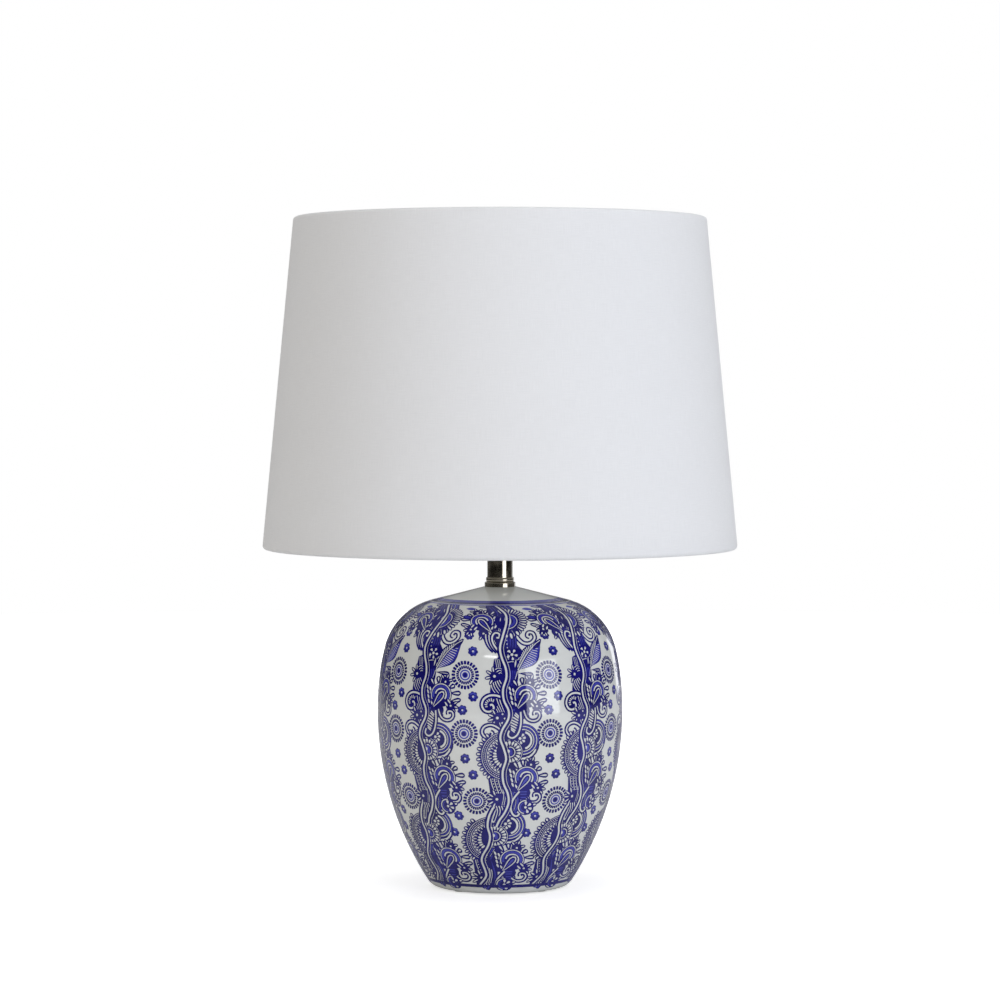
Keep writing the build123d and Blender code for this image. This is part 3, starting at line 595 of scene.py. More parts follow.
class Drawing:
    """Shapes laid on each other, each with its tone."""

    def __init__(self):
        self.shapes = []
        self.origin = np.zeros(2)
        self.scale = 1.0
        self.lowest = PRINT_BOTTOM

    def lay(self, tone, outline):
        points = np.array(outline, float) * self.scale + self.origin
        points[:, 1] = np.minimum(points[:, 1], self.lowest)
        self.shapes.append((tone, points))

    def line(self, tone, path, width, end=None):
        """A line that may taper from one width to another."""
        half = np.linspace(width, width if end is None else end, len(path))[:, None] / 2
        if tone == BARE:
            half = half * BARE_LINE_SHARE
        side = left_of(path) * half
        self.lay(tone, np.concatenate([path + side, (path - side)[::-1]]))

    def dot(self, tone, center, radius, count=9):
        self.lay(tone, [spot(center, radius, 360 * i / count) for i in range(count)])

    def form(self, tone, profile, base, tip, width):
        """A long form between two points, whose half widths follow a profile."""
        base, tip = np.array(base, float), np.array(tip, float)
        run = tip - base
        side = np.array([run[1], -run[0]]) / np.hypot(*run) * width / 2
        left = [base + run * t + side * w for t, w in profile]
        right = [base + run * t - side * w for t, w in profile[-2:0:-1]]
        self.lay(tone, left + right)

    def open_form(self, profile, base, tip, width, edge=EDGE):
        """A form left bare inside its outline."""
        base, tip = np.array(base, float), np.array(tip, float)
        length = np.hypot(*(tip - base))
        edge = edge * OUTLINE_SHARE
        self.form(INK, profile, base, tip, width)
        start = base + (tip - base) * min(0.4, 2.0 * edge / length)
        self.form(BARE, profile, start, tip + (start - tip) * edge / length, width - 2 * edge)

    def double_line(self, path, width=3.3, bare=1.4):
        """A bare line between two drawn ones."""
        self.line(INK, path, width)
        self.line(BARE, path, bare)

    def spokes(self, tone, profile, center, inner, outer, width, angles):
        for angle in angles:
            self.form(tone, profile, spot(center, inner, angle), spot(center, outer, angle), width)

    def loops(self, profile, center, inner, outer, width, angles, edge=EDGE):
        for angle in angles:
            base, tip = spot(center, inner, angle), spot(center, outer, angle)
            self.open_form(profile, base, tip, width, edge)

    def hatch(self, tone, first, second, count, width):
        """Short strokes from one line to another, evenly spread along both."""
        first, second = np.array(first, float), np.array(second, float)
        for t in np.linspace(0, 1, count):
            ends = [along(path, t) for path in (first, second)]
            self.form(tone, BAR, *ends, width)


def along(path, share):
    """The point of a line at this share of its way, by the count of its points."""
    place = share * (len(path) - 1)
    low = min(int(place), len(path) - 2)
    return path[low] + (path[low + 1] - path[low]) * (place - low)


def spaced(first, last, count):
    """Evenly spaced values from the first to the last."""
    return [first + (last - first) * i / (count - 1) for i in range(count)]


# --- The print's motifs ----------------------------------------------------------------------

def rosette(d, center):
    """Two rings of dashes round a ringed dot."""
    d.spokes(INK, BAR, center, 7.6, 10.6, 1.75, spaced(0, 345, 24))
    d.spokes(INK, BAR, center, 4.7, 7.0, 1.25, spaced(7.5, 352.5, 24))
    for tone, radius in ((WASH, 4.0), (BARE, 3.0), (WASH, 2.2), (INK, 1.5)):
        d.dot(tone, center, radius, 16)


def button_flower(d, center):
    """A small round flower with a pale eye."""
    d.spokes(INK, OVAL, center, 0.4, 3.9, 2.9, spaced(10, 310, 7))
    d.dot(WASH, center, 3.1, 12)
    d.line(INK, arc(center, 2.4, -30, 210, 30), 0.9)
    d.line(INK, arc(center, 1.3, 100, 330, 30), 0.8)
    d.dot(BARE, center, 0.8, 7)


def daisy(d, center, first, last, count=5, reach=5.4, patch=4.2):
    """A dark patch with a bare eye, and open petals that stand out of it on one side."""
    d.dot(INK, center, patch, 14)
    d.loops(OVAL, center, 1.2, reach, 2.9, spaced(first, last, count), 0.85)
    d.dot(INK, center, 1.9, 10)
    d.dot(BARE, center, 1.05, 8)


def inset_daisy(d, center, first, last):
    """A bare daisy inside a dark place."""
    d.spokes(BARE, DROP, center, 1.5, 4.2, 1.8, spaced(first, last, 5))
    d.dot(BARE, center, 1.1, 8)


def streaks(d, paths, width=0.8, end=0.4, tone=BARE):
    """Long lines that taper, as on the dark ribbons."""
    for path in paths:
        d.line(tone, flow(*path), width, end)


def scallop_fan(d):
    """The fan at the top: a half disc with long scalloped petals."""
    eye = (3.4, 64.0)
    d.dot(INK, eye, 9.0, 20)
    d.loops(DROP, eye, 7.0, 15.4, 3.0, spaced(-116, 80, 19), 0.8)
    d.dot(INK, eye, 8.3, 20)
    d.line(WASH, arc(eye, 5.4, -95, 95), 1.9)
    d.line(BARE, arc(eye, 7.3, -88, 92), 0.7)
    d.form(BARE, OVAL, (4.6, 59.4), (4.6, 68.6), 3.6)
    for base, tip in (((5.0, 72.5), (7.0, 80.5)), ((8.5, 71.0), (12.2, 77.5)), ((2.4, 74.0), (3.2, 79.5))):
        d.open_form(OVAL, base, tip, 4.4)


FLOWER_HEADS = ((-158, 14.6), (-134, 15.4), (-108, 14.0), (-40, 13.4), (-12, 16.2))
FLOWER_RINGS = (
    (BARE, 8.0, -205, 22, 0.8), (WASH, 6.4, -195, 25, 1.7), (BARE, 4.5, -170, 40, 1.3),
)


def paisley_flower(d, center, mirror=1):
    """A curled drop inside rings, with open petals round its head and at its foot."""
    def at(x, s):
        return (center[0] + mirror * x, center[1] + s)

    def turn(angle):
        return angle if mirror > 0 else 180 - angle

    def petals(place, reach, width, first, last, count):
        d.dot(INK, at(*place), reach * 0.62, 12)
        d.loops(OVAL, at(*place), 1.0, reach, width, [turn(a) for a in spaced(first, last, count)], 0.95)
        d.dot(INK, at(*place), 1.7, 9)
        d.dot(BARE, at(*place), 0.85, 7)

    for angle, reach in FLOWER_HEADS:
        base, tip = spot(center, 7.0, turn(angle)), spot(center, reach, turn(angle + 6))
        d.open_form(DROP, base, tip, 4.0)
    d.open_form(DROP, at(6.0, 5.0), at(16.4, 3.0), 3.8)
    petals((3.2, -9.6), 6.4, 3.0, -125, -15, 3)
    d.lay(INK, [at(x, s) for x, s in ((-14.0, -6.0), (-9.4, -8.0), (-4.5, -3.0), (-6.0, 9.0), (-12.0, 8.0))])
    for row in range(4):
        for column in range(3):
            x, s = -12.4 + 2.6 * column + 0.6 * row, -5.4 + 3.4 * row + 1.3 * column
            d.form(BARE, OVAL, at(x, s - 1.6), at(x + 1.3, s + 1.6), 1.35)
    petals((-1.0, 11.0), 6.4, 3.0, 60, 150, 3)
    petals((8.4, 7.6), 6.2, 3.0, -30, 95, 4)
    d.dot(INK, center, 9.0, 22)
    for tone, radius, first, last, width in FLOWER_RINGS:
        d.line(tone, arc(center, radius, turn(first), turn(last)), width)
    d.form(INK, DROP, at(-8.8, 12.4), at(3.0, -3.4), 7.0)
    d.form(BARE, DROP, at(-7.4, 10.6), at(2.4, -2.5), 5.2)
    d.form(INK, DROP, at(-6.2, 9.0), at(1.8, -1.7), 3.6)
    d.form(WASH, DROP, at(-4.2, 6.4), at(1.2, -0.9), 1.6)
    for x, s in ((3.6, 5.4), (5.8, 3.4)):
        d.form(BARE, OVAL, at(x, s - 0.4), at(x + 2.4, s + 2.6), 1.2)


def curl(d, center, mirror=1):
    """The scroll that leaves a paisley flower's foot."""
    x, s = center
    points = (
        (-8.5, -4.0), (-6.4, 1.4), (-2.6, 3.8), (1.6, 3.2), (3.6, 0.2), (2.4, -2.6), (-0.6, -2.6),
        (-0.6, -0.4),
    )
    d.double_line(flow(*[(x + mirror * px, s + ps) for px, ps in points], steps=3), 3.5, 1.2)


def scroll(d, points, width=3.7, bare=1.5):
    d.double_line(flow(*points), width, bare)


def feather(d, base, tip, width):
    """A leaf with a pale lower half, a bare midrib and veins."""
    base, tip = np.array(base, float), np.array(tip, float)
    run = tip - base
    side = np.array([-run[1], run[0]]) / np.hypot(*run)
    belly = base + run * 0.45 + side * width * 0.55
    upper = flow(base, base + run * 0.5 - side * width * 0.42, tip)
    lower = flow(base, belly, tip)
    rib = flow(base, base + run * 0.5 - side * width * 0.12, tip)
    d.lay(INK, [*upper, *lower[::-1]])
    d.lay(WASH, [*rib, *(np.array(lower[::-1]) * 0.9 + np.array(rib[::-1]) * 0.1)])
    for edge, vein in ((upper, 0.75), (lower, 0.5)):
        for share in spaced(0.1, 0.84, 15):
            start, end = along(rib, share * 0.88), along(edge, share + 0.04)
            d.form(BARE, BAR, start + (end - start) * 0.1, start + (end - start) * 0.82, vein)
    d.line(INK, rib, 1.9)
    d.line(BARE, rib, 0.9)


def top_group(d):
    """What hangs from the ring lines: a peony, the fan, scrolls and a leaf."""
    d.lay(INK, [
        (-12.0, 43.0), (-4.0, 43.0), (2.0, 56.0), (2.0, 70.0), (-3.0, 88.0), (-9.0, 74.0), (-10.0, 58.0),
    ])
    streaks(d, [((x, 46.0), (x + 3.0, 53.0), (x + 4.6, 60.0)) for x in (-9.6, -7.2, -4.8)], 0.5, 0.5, WASH)
    d.open_form(OVAL, (-9.0, 47.0), (-17.5, 45.5), 3.8)
    d.spokes(BARE, DROP, (-6.6, 60.0), 0.8, 3.4, 1.2, spaced(-160, 60, 5))
    streaks(d, [
        ((-7.2 + 1.7 * i, 66.0), (-5.4 + 1.4 * i, 70.0), (-5.6 + i, 75.0)) for i in range(5)
    ], 0.75, 0.5)
    paisley_flower(d, (-15.0, 64.5), -1)
    d.form(INK, LEAF, (-22.0, 61.0), (-30.0, 59.5), 5.0)
    d.form(WASH, LEAF, (-23.0, 61.0), (-29.0, 59.6), 2.6)
    d.form(WASH, LEAF, (-19.0, 49.5), (-27.0, 49.5), 4.0)
    for x, s in ((-12.4, 76.0), (-10.0, 76.5)):
        path = flow((x, s), (x + 0.4, s + 5.0), (x + 2.4, s + 9.6), (x + 5.8, s + 13.4))
        d.double_line(path, 3.5, 1.0)
    scroll(d, (
        (-1.8, 91.0), (-6.4, 84.6), (-7.8, 79.0), (-5.8, 75.0), (-2.6, 75.6), (-2.8, 78.8), (-4.6, 78.6),
    ), 3.6, 1.4)
    scroll(d, (
        (9.0, 75.0), (11.6, 80.0), (15.6, 83.4), (20.4, 83.2), (23.6, 79.6), (22.4, 75.4), (19.0, 74.6),
        (18.0, 77.4), (19.8, 78.4),
    ), 3.8, 1.7)
    d.lay(INK, [
        (0.0, 76.0), (10.0, 77.0), (10.5, 84.0), (15.0, 90.0), (13.0, 96.0), (8.0, 104.0), (0.0, 104.0),
    ])
    streaks(d, [((x, 79.0), (x + 0.3, 83.0), (x, 86.5)) for x in (3.2, 5.2, 7.2, 9.2)], 0.6, 0.4, WASH)
    inset_daisy(d, (6.6, 91.8), -130, 150)
    d.line(BARE, flow((3.0, 97.6), (6.0, 97.0), (9.4, 96.8), (12.2, 94.0)), 0.6)
    for share in spaced(0.0, 1.0, 6):
        d.dot(BARE, (2.8 + 1.2 * share, 81.0 + 14.0 * share), 0.5, 5)
    scallop_fan(d)
    feather(d, (11.0, 103.0), (28.0, 80.5), 15.0)
    d.form(INK, LEAF, (22.4, 88.0), (28.6, 80.0), 4.6)
    d.line(BARE, flow((19.6, 88.4), (24.0, 84.0), (27.6, 81.4)), 0.7)
    d.open_form(LEAF, (8.2, 104.0), (9.8, 94.0), 3.8)
    d.open_form(DROP, (11.0, 105.5), (22.5, 106.5), 3.2)


def upper_group(d):
    """Between the fan and the half wheel: combs, spirals, daisies and the first paisley flower."""
    d.lay(INK, [(-1.5, 93.0), (-6.5, 95.0), (-8.0, 106.0), (-9.6, 119.0), (-2.0, 125.0), (2.0, 110.0)])
    streaks(d, [
        ((-5.8 + 1.4 * i, 95.0), (-5.0 + 1.4 * i, 98.0), (-4.6 + 1.3 * i, 101.0)) for i in range(3)
    ], 0.5, 0.5)
    streaks(d, [
        ((-6.6 + i, 103.6 + 1.9 * i), (-3.6 + 0.7 * i, 101.6 + 1.7 * i), (-0.8, 102.4 + 1.6 * i))
        for i in range(3)
    ])
    d.lay(INK, [(-9.5, 109.0), (-1.0, 109.0), (0.0, 124.0), (-6.0, 121.0), (-9.0, 116.0)])
    streaks(d, [
        ((-8.8 + 1.5 * i, 112.4 - 0.5 * i), (-7.6 + 1.6 * i, 117.0 - i), (-3.8 + 1.0 * i, 122.0 - 1.6 * i))
        for i in range(5)
    ], 0.9, 0.45)
    daisy(d, (-6.2, 107.6), 120, 260, 4, 7.4, 3.6)
    d.lay(INK, [(-10.0, 121.0), (-1.0, 120.0), (3.5, 134.0), (2.5, 146.0), (-3.5, 148.0), (-7.5, 135.0)])
    streaks(d, [
        ((-9.0 + 1.9 * i, 121.6), (-7.4 + 1.9 * i, 127.0), (-3.6 + 1.5 * i, 133.6)) for i in range(6)
    ], 0.9, 0.5)
    d.dot(INK, (-9.8, 127.4), 5.8, 16)
    d.hatch(BARE, arc((-9.6, 127.6), 4.6, 150, 310), arc((-9.0, 128.2), 2.4, 150, 310), 7, 0.8)
    scroll(d, (
        (0.5, 123.6), (-4.6, 121.6), (-9.8, 121.6), (-14.0, 124.2), (-15.4, 128.6), (-13.4, 132.4),
        (-9.6, 133.2), (-6.8, 130.8), (-7.8, 128.2), (-9.4, 128.6),
    ), 4.0, 1.6)
    d.lay(INK, [(-6.5, 136.0), (2.5, 134.0), (2.0, 146.0), (-3.5, 146.0)])
    for x, s in ((-4.0, 134.2), (-0.4, 135.0), (1.2, 138.2), (-0.6, 141.4)):
        d.dot(BARE, (x, s), 0.75, 6)
    daisy(d, (-4.2, 137.8), 125, 240, 4, 7.6, 4.2)
    streaks(d, [
        ((-2.6 + 1.7 * i, 141.2), (-1.6 + 1.5 * i, 144.0), (-0.6 + 1.1 * i, 147.6)) for i in range(3)
    ], 0.7, 0.5)
    scroll(d, (
        (-0.5, 147.5), (-4.8, 144.2), (-9.4, 142.8), (-13.8, 144.4), (-15.4, 148.0), (-13.4, 151.4),
        (-9.6, 151.8), (-7.6, 149.2), (-9.2, 147.8),
    ), 3.7, 1.3)
    d.lay(INK, [
        (4.0, 103.0), (10.5, 103.5), (9.5, 113.0), (12.0, 119.0), (12.0, 130.0), (6.0, 132.0), (5.0, 120.0),
    ])
    streaks(d, [((x, 103.5), (x + 0.2, 109.0), (x - 0.8, 114.5)) for x in (5.4, 7.0, 8.6)], 0.7, 0.5, WASH)
    streaks(d, [((10.6, 104.0), (9.4, 108.0), (7.8, 113.0))], 0.6, 0.5)
    paisley_flower(d, (16.6, 122.0))
    curl(d, (23.6, 136.4))


def comb_leaf(d):
    """The combed leaf between the first paisley flower and the hook, with its curled edge."""
    d.form(INK, LEAF, (6.4, 156.0), (10.5, 130.0), 11.5)
    scroll(d, (
        (12.8, 133.4), (13.0, 142.0), (10.8, 149.4), (6.8, 152.4), (3.6, 150.6), (4.4, 147.0),
    ), 3.4, 1.4)
    left = flow((8.8, 134.0), (5.6, 140.0), (5.6, 146.0))
    right = flow((11.6, 137.0), (10.8, 142.6), (8.6, 148.4))
    d.hatch(BARE, left, right, 8, 0.95)


def half_wheel(d, center):
    """The half wheel left of the stem: open beads, a dotted band, loops, dashes and a crescent."""
    d.loops(OVAL, center, 16.0, 21.4, 3.5, spaced(128, 228, 10), 1.0)
    d.line(INK, arc(center, 15.6, 98, 262, 8), 4.6)
    d.line(BARE, arc(center, 17.0, 100, 260, 8), 0.5)
    d.line(BARE, arc(center, 14.3, 100, 258, 8), 0.45)
    d.hatch(BARE, arc(center, 15.2, 104, 256, 8), arc(center, 16.1, 104, 256, 8), 30, 0.6)
    d.lay(BARE, arc(center, 13.3, 100, 260, 10))
    d.lay(INK, arc(center, 10.6, 95, 265, 10))
    d.loops(OVAL, center, 8.0, 13.2, 2.5, spaced(108, 246, 12), 0.8)
    d.lay(INK, arc(center, 9.6, 95, 265, 10))
    d.spokes(BARE, OVAL, center, 9.4, 6.2, 1.5, spaced(104, 252, 11))
    d.line(BARE, arc(center, 5.2, 95, 262, 15), 0.7)
    d.line(WASH, arc(center, 4.0, 100, 258, 20), 0.9)
    d.form(BARE, OVAL, spot(center, 4.4, 105), spot(center, 4.4, 250), 2.0)


def small_fan(d, center, radius=9.6):
    """A round fan right of the stem, of bare dashes about a dot."""
    d.dot(INK, center, radius, 22)
    d.line(BARE, arc(center, radius - 0.9, -100, 120), 0.5)
    d.spokes(BARE, DROP, center, 4.5, 8.0, 1.8, spaced(-112, 108, 12))
    d.line(BARE, arc(center, 3.6, -100, 110), 0.7)
    d.form(WASH, OVAL, (center[0] - 0.4, center[1] - 3.2), (center[0] + 1.4, center[1] + 2.6), 2.6)
    d.dot(BARE, (center[0] - 1.2, center[1] - 0.6), 1.3, 8)


HOOK_RINGS = (
    (WASH, 11.2, -175, 40, 0.7), (BARE, 10.0, -125, 120, 0.7), (WASH, 8.9, -130, 110, 0.7),
    (BARE, 7.8, -100, 115, 0.7), (BARE, 6.0, -75, 75, 1.7),
)
HOOK_LIP = ((BARE, 11.8, 25, 122, 1.3), (INK, 13.1, 5, 124, 1.2), (INK, 10.6, 40, 122, 0.9))


def hook(d, center):
    """A crescent of lines that curls round a daisy."""
    d.dot(INK, center, 12.0, 26)
    for tone, radius, first, last, width in HOOK_RINGS:
        d.line(tone, arc(center, radius, first, last), width)
    low = (center[0] - 1.5, center[1] + 1.5)
    for tone, radius, first, last, width in HOOK_LIP:
        d.line(tone, arc(low, radius, first, last), width)
    inset_daisy(d, (center[0] - 2.2, center[1] - 1.4), -50, 120)


def tier(d, flower):
    """The half wheel, fan, hook and paisley flower, which come twice, and a flower at their foot."""
    d.lay(INK, [(-11.0, 14.0), (1.0, 12.0), (5.0, 30.0), (4.5, 46.0), (-7.5, 46.0), (-9.0, 28.0)])
    for x in (-8.8, -6.2, -3.6):
        path = flow((x, 17.0), (x + 1.2, 22.0), (x + 3.4, 28.0))
        d.line(BARE, path, 0.7)
        for share in spaced(0.05, 0.95, 6):
            d.dot(BARE, along(path, share) + np.array((1.3, 0.0)), 0.45, 5)
    half_wheel(d, (2.0, 0.6))
    hook(d, (14.2, -10.4))
    d.lay(INK, [(1.0, -17.0), (8.0, -17.0), (8.0, -8.0), (0.0, -6.0)])
    for x, s in ((3.4, -13.4), (5.2, -12.6), (7.0, -12.4)):
        d.form(BARE, OVAL, (x, s - 0.9), (x, s + 0.9), 1.1)
    small_fan(d, (4.8, -2.2))
    streaks(d, [
        ((-0.4 + 1.5 * i, 23.0 + i), (0.6 + 1.3 * i, 30.0), (-0.6 + 1.4 * i, 37.0)) for i in range(3)
    ], 0.7, 0.5)
    daisy(d, (-4.2, 32.4), 112, 248, 5, 8.0, 4.4)
    streaks(d, [
        ((-6.6 + 1.9 * i, 37.4), (-5.6 + 1.9 * i, 42.0), (-7.8 + 1.8 * i, 50.0)) for i in range(5)
    ], 0.9, 0.6)
    d.lay(INK, [(4.5, 5.0), (9.5, 6.0), (9.0, 12.0), (11.0, 22.0), (9.0, 27.0), (5.5, 27.0), (4.5, 16.0)])
    paisley_flower(d, (16.8, 16.8))
    curl(d, (23.2, 31.4))
    d.form(INK, LEAF, (14.6, 24.0), (14.0, 34.0), 8.4)
    d.hatch(WASH, flow((11.8, 27.0), (12.6, 33.0)), flow((17.4, 27.0), (16.4, 33.0)), 4, 0.7)
    scroll(d, (
        (11.8, 26.6), (7.4, 32.4), (5.6, 38.6), (7.0, 43.8), (9.8, 45.4), (12.0, 43.2), (10.2, 42.2),
    ), 3.5, 1.5)
    d.lowest = PRINT_BOTTOM     # of the lower tier only this flower reaches past the foot line
    x, s = flower
    d.open_form(OVAL, (x + 3.6, s - 0.8), (x + 8.4, s - 2.4), 3.4, 0.95)
    d.dot(INK, flower, 6.2, 16)
    d.line(BARE, arc(flower, 5.0, 100, 280, 20), 0.9)
    d.line(WASH, arc(flower, 3.6, 60, 250, 25), 0.7)
    d.spokes(BARE, DROP, (x + 0.4, s + 0.2), 1.4, 4.6, 1.9, spaced(-90, 70, 4))
    d.dot(BARE, (x + 0.2, s + 0.2), 1.0, 8)


STEM_STREAKS = ((4.0, 0.9, WASH), (5.3, 0.4, BARE), (6.6, 0.9, WASH))


def stem(d, path):
    """A wavy stem: a bare line, and a dark ribbon of streaks to its right."""
    d.line(INK, beside(path, 3.9), 9.4)
    for distance, width, tone in STEM_STREAKS:
        d.line(tone, beside(path, distance), width)


def stem_line(d, path):
    d.line(INK, path, 4.4)
    d.line(BARE, path, 1.7)
    d.line(BARE, beside(path, 2.6), 0.45)


UPPER_STEM = (
    (-8.0, 38.0), (-4.5, 44.0), (-1.0, 50.0), (2.6, 57.0), (2.8, 66.0), (0.2, 77.0), (-2.0, 86.0),
    (-1.2, 93.0), (2.0, 102.0), (2.4, 109.0), (0.0, 117.0), (0.6, 125.0), (4.0, 132.5), (3.6, 139.0),
    (-0.6, 146.5), (-2.0, 153.0), (0.4, 160.0), (2.2, 168.0), (-0.2, 177.0), (0.4, 186.0), (3.4, 193.5),
    (4.2, 201.0), (1.4, 209.0), (-2.4, 215.0), (-4.6, 220.5),
)
LOWER_STEM = (
    (-7.0, 205.0), (-10.0, 212.0), (-11.0, 220.0), (-9.2, 228.0), (-10.4, 236.0), (-14.4, 244.5),
    (-15.0, 250.0), (-12.4, 258.0), (-11.8, 263.5), (-15.4, 270.0), (-17.0, 273.2),
)
# Each tier, the lower one first: its place, its scale, its foot flower's place in it, and how low
# its other lines may reach
TIERS = (
    ((-10.6, 230.4), 1.06, (11.4, 38.0), 272.6),
    ((0.0, 165.0), 1.03, (16.0, 38.6), PRINT_BOTTOM),
)
ROSETTE_CENTERS = ((-27.9, 107.0), (-28.8, 149.6), (-19.0, 200.0))
BUTTON_CENTERS = (
    (-24.8, 77.0), (-21.9, 89.5), (-21.9, 122.5), (-30.0, 132.5), (-27.9, 168.0), (-21.8, 180.0),
    (24.0, 212.0), (17.4, 225.5),
)


def draw_vine():
    """All shapes of one vine, from the ring lines to the foot line."""
    d = Drawing()
    upper, lower = (flow(*points) for points in (UPPER_STEM, LOWER_STEM))
    for center in ROSETTE_CENTERS:
        rosette(d, center)
    for center in BUTTON_CENTERS:
        button_flower(d, center)
    stem(d, lower)
    stem(d, upper)
    top_group(d)
    upper_group(d)
    for center, scale, flower, lowest in TIERS:
        d.origin, d.scale, d.lowest = np.array(center), scale, lowest
        tier(d, flower)
    d.origin, d.scale = np.zeros(2), 1.0
    comb_leaf(d)
    for path in (lower, upper):
        stem_line(d, path)
    return d.shapes


# --- Print on the jar ------------------------------------------------------------------------

def covers(outline, points):
    """Whether each point lies inside a closed outline, by how often the outline winds round it."""
    (ax, ay), (bx, by) = outline.T, np.roll(outline, -1, axis=0).T
    x, y = points[:, :1], points[:, 1:]
    left = (bx - ax) * (y - ay) - (x - ax) * (by - ay)
    up = (ay <= y) & (by > y) & (left > 0)
    down = (ay > y) & (by <= y) & (left < 0)
    return up.sum(1) != down.sum(1)


def sector_shapes():
    """The vine's shapes spread to the belly's width, with its neighbours' where they reach in."""
    shapes = []
    for tone, outline in draw_vine():
        spread = outline * np.stack([BELLY_RADIUS / on_glaze(outline[:, 1])[0], np.ones(len(outline))], 1)
        for shift in (-VINE_PITCH, 0.0, VINE_PITCH):
            moved = spread + (shift, 0.0)
            if moved[:, 0].max() > -VINE_PITCH / 2 and moved[:, 0].min() < VINE_PITCH / 2:
                shapes.append((tone, moved))
    return shapes


def sector_cells():
    """Flat triangles of one sector of the print, and the tone of each."""
    shapes = sector_shapes()
    half = VINE_PITCH / 2
    columns = np.linspace(-half, half, ceil(VINE_PITCH / PRINT_GRID) + 1)
    rows = np.linspace(PRINT_TOP, PRINT_BOTTOM, ceil((PRINT_BOTTOM - PRINT_TOP) / PRINT_GRID) + 1)
    frame_line = [(u, rows[0]) for u in columns] + [(half, s) for s in rows[1:-1]]
    frame_line += [(u, rows[-1]) for u in columns[::-1]] + [(-half, s) for s in rows[-2:0:-1]]
    points, edges = [], []
    for outline in [np.array(frame_line)] + [shape for tone, shape in shapes]:
        first = len(points)
        count = len(outline)
        points += [Vector(p) for p in outline]
        edges += [(first + i, first + (i + 1) % count) for i in range(count)]
    points += [Vector((u, s)) for u in columns[1:-1] for s in rows[1:-1]]
    corners, _, cells, *_ = geometry.delaunay_2d_cdt(points, edges, [], 0, SAME_POINT, False)
    corners, cells = np.array(corners), np.array(cells)
    triangles = corners[cells]
    middles = triangles.mean(1)
    runs = triangles[:, 1:] - triangles[:, :1]
    area = (runs[:, 0, 0] * runs[:, 1, 1] - runs[:, 0, 1] * runs[:, 1, 0]) / 2
    tones = np.full(len(cells), BARE)
    for tone, outline in shapes:
        low, high = outline.min(0), outline.max(0)
        near = np.nonzero(((middles > low) & (middles < high)).all(1))[0]
        tones[near[covers(outline, middles[near])]] = tone
    inside = (abs(middles[:, 0]) < half) & (middles[:, 1] > rows[0]) & (middles[:, 1] < rows[-1])
    good = inside & (abs(area) > TINY_CELL)
    return corners, cells[good], tones[good]


def wrapped(flat, turn):
    """Points of the flat print on the jar, under the glaze's face by the layer's sink."""
    radius, height = on_glaze(flat[:, 1], -PRINT_SINK)
    turns = flat[:, 0] / BELLY_RADIUS + turn
    return np.stack([radius * np.sin(turns), -radius * np.cos(turns), height], 1)


def vine_layers():
    """A node group: gives a sheet its thickness and repeats it round the jar."""
    tree = bpy.data.node_groups.new("vine_layers", "GeometryNodeTree")
    face = tree.interface
    face.new_socket("Geometry", in_out="OUTPUT", socket_type="NodeSocketGeometry")
    for label, kind in (
        ("Sheet", "Geometry"), ("Thickness", "Float"), ("Count", "Int"), ("First turn", "Float"),
        ("Turn", "Float"), ("Material", "Material"),
    ):
        face.new_socket(label, in_out="INPUT", socket_type="NodeSocket" + kind)
    n = Nodes(tree)
    entry = n.node("NodeGroupInput")
    given = {socket.name: Link(n, socket) for socket in entry.socket.node.outputs if socket.name}
    raised = n.node("GeometryNodeExtrudeMesh", {"mode": "FACES"}, {
        "Mesh": given["Sheet"], "Offset Scale": given["Thickness"], "Individual": False,
    })
    under = n.node("GeometryNodeFlipFaces", values={"Mesh": given["Sheet"]})
    both = n.node("GeometryNodeJoinGeometry", values={"Geometry": [raised, under]})
    closed = n.node("GeometryNodeMergeByDistance", values={"Geometry": both, "Distance": WELD})
    places = n.node("GeometryNodeMeshLine", {"mode": "OFFSET"}, {
        "Count": given["Count"], "Offset": (0, 0, 0),
    })
    turn = given["Turn"] * n.node("GeometryNodeInputIndex") + given["First turn"]
    spin = n.node("FunctionNodeEulerToRotation", values={0: n.node("CombineXYZ", values={"Z": turn})})
    copies = n.node("GeometryNodeInstanceOnPoints", values={
        "Points": places, "Instance": closed, "Rotation": spin,
    })
    real = n.node("GeometryNodeRealizeInstances", values={"Geometry": copies})
    done = n.node("GeometryNodeSetMaterial", values={"Geometry": real, "Material": given["Material"]})
    n.node("NodeGroupOutput", values={0: done})
    return tree


def arranged(name, points, faces, tree, **inputs):
    """The plain mesh that a node group makes of some faces, in metres."""
    mesh = bpy.data.meshes.new(name)
    mesh.from_pydata(points.tolist(), [], faces.tolist())
    seed = bpy.data.objects.new(name + "_seed", mesh)
    bpy.context.scene.collection.objects.link(seed)
    modifier = seed.modifiers.new("Arrange", "NODES")
    modifier.node_group = tree
    for socket in tree.interface.items_tree:
        key = socket.name.replace(" ", "_").lower()
        if key in inputs:
            modifier[socket.identifier] = inputs[key]
    graph = bpy.context.evaluated_depsgraph_get()
    result = bpy.data.meshes.new_from_object(seed.evaluated_get(graph), depsgraph=graph)
    bpy.data.objects.remove(seed)
    return result


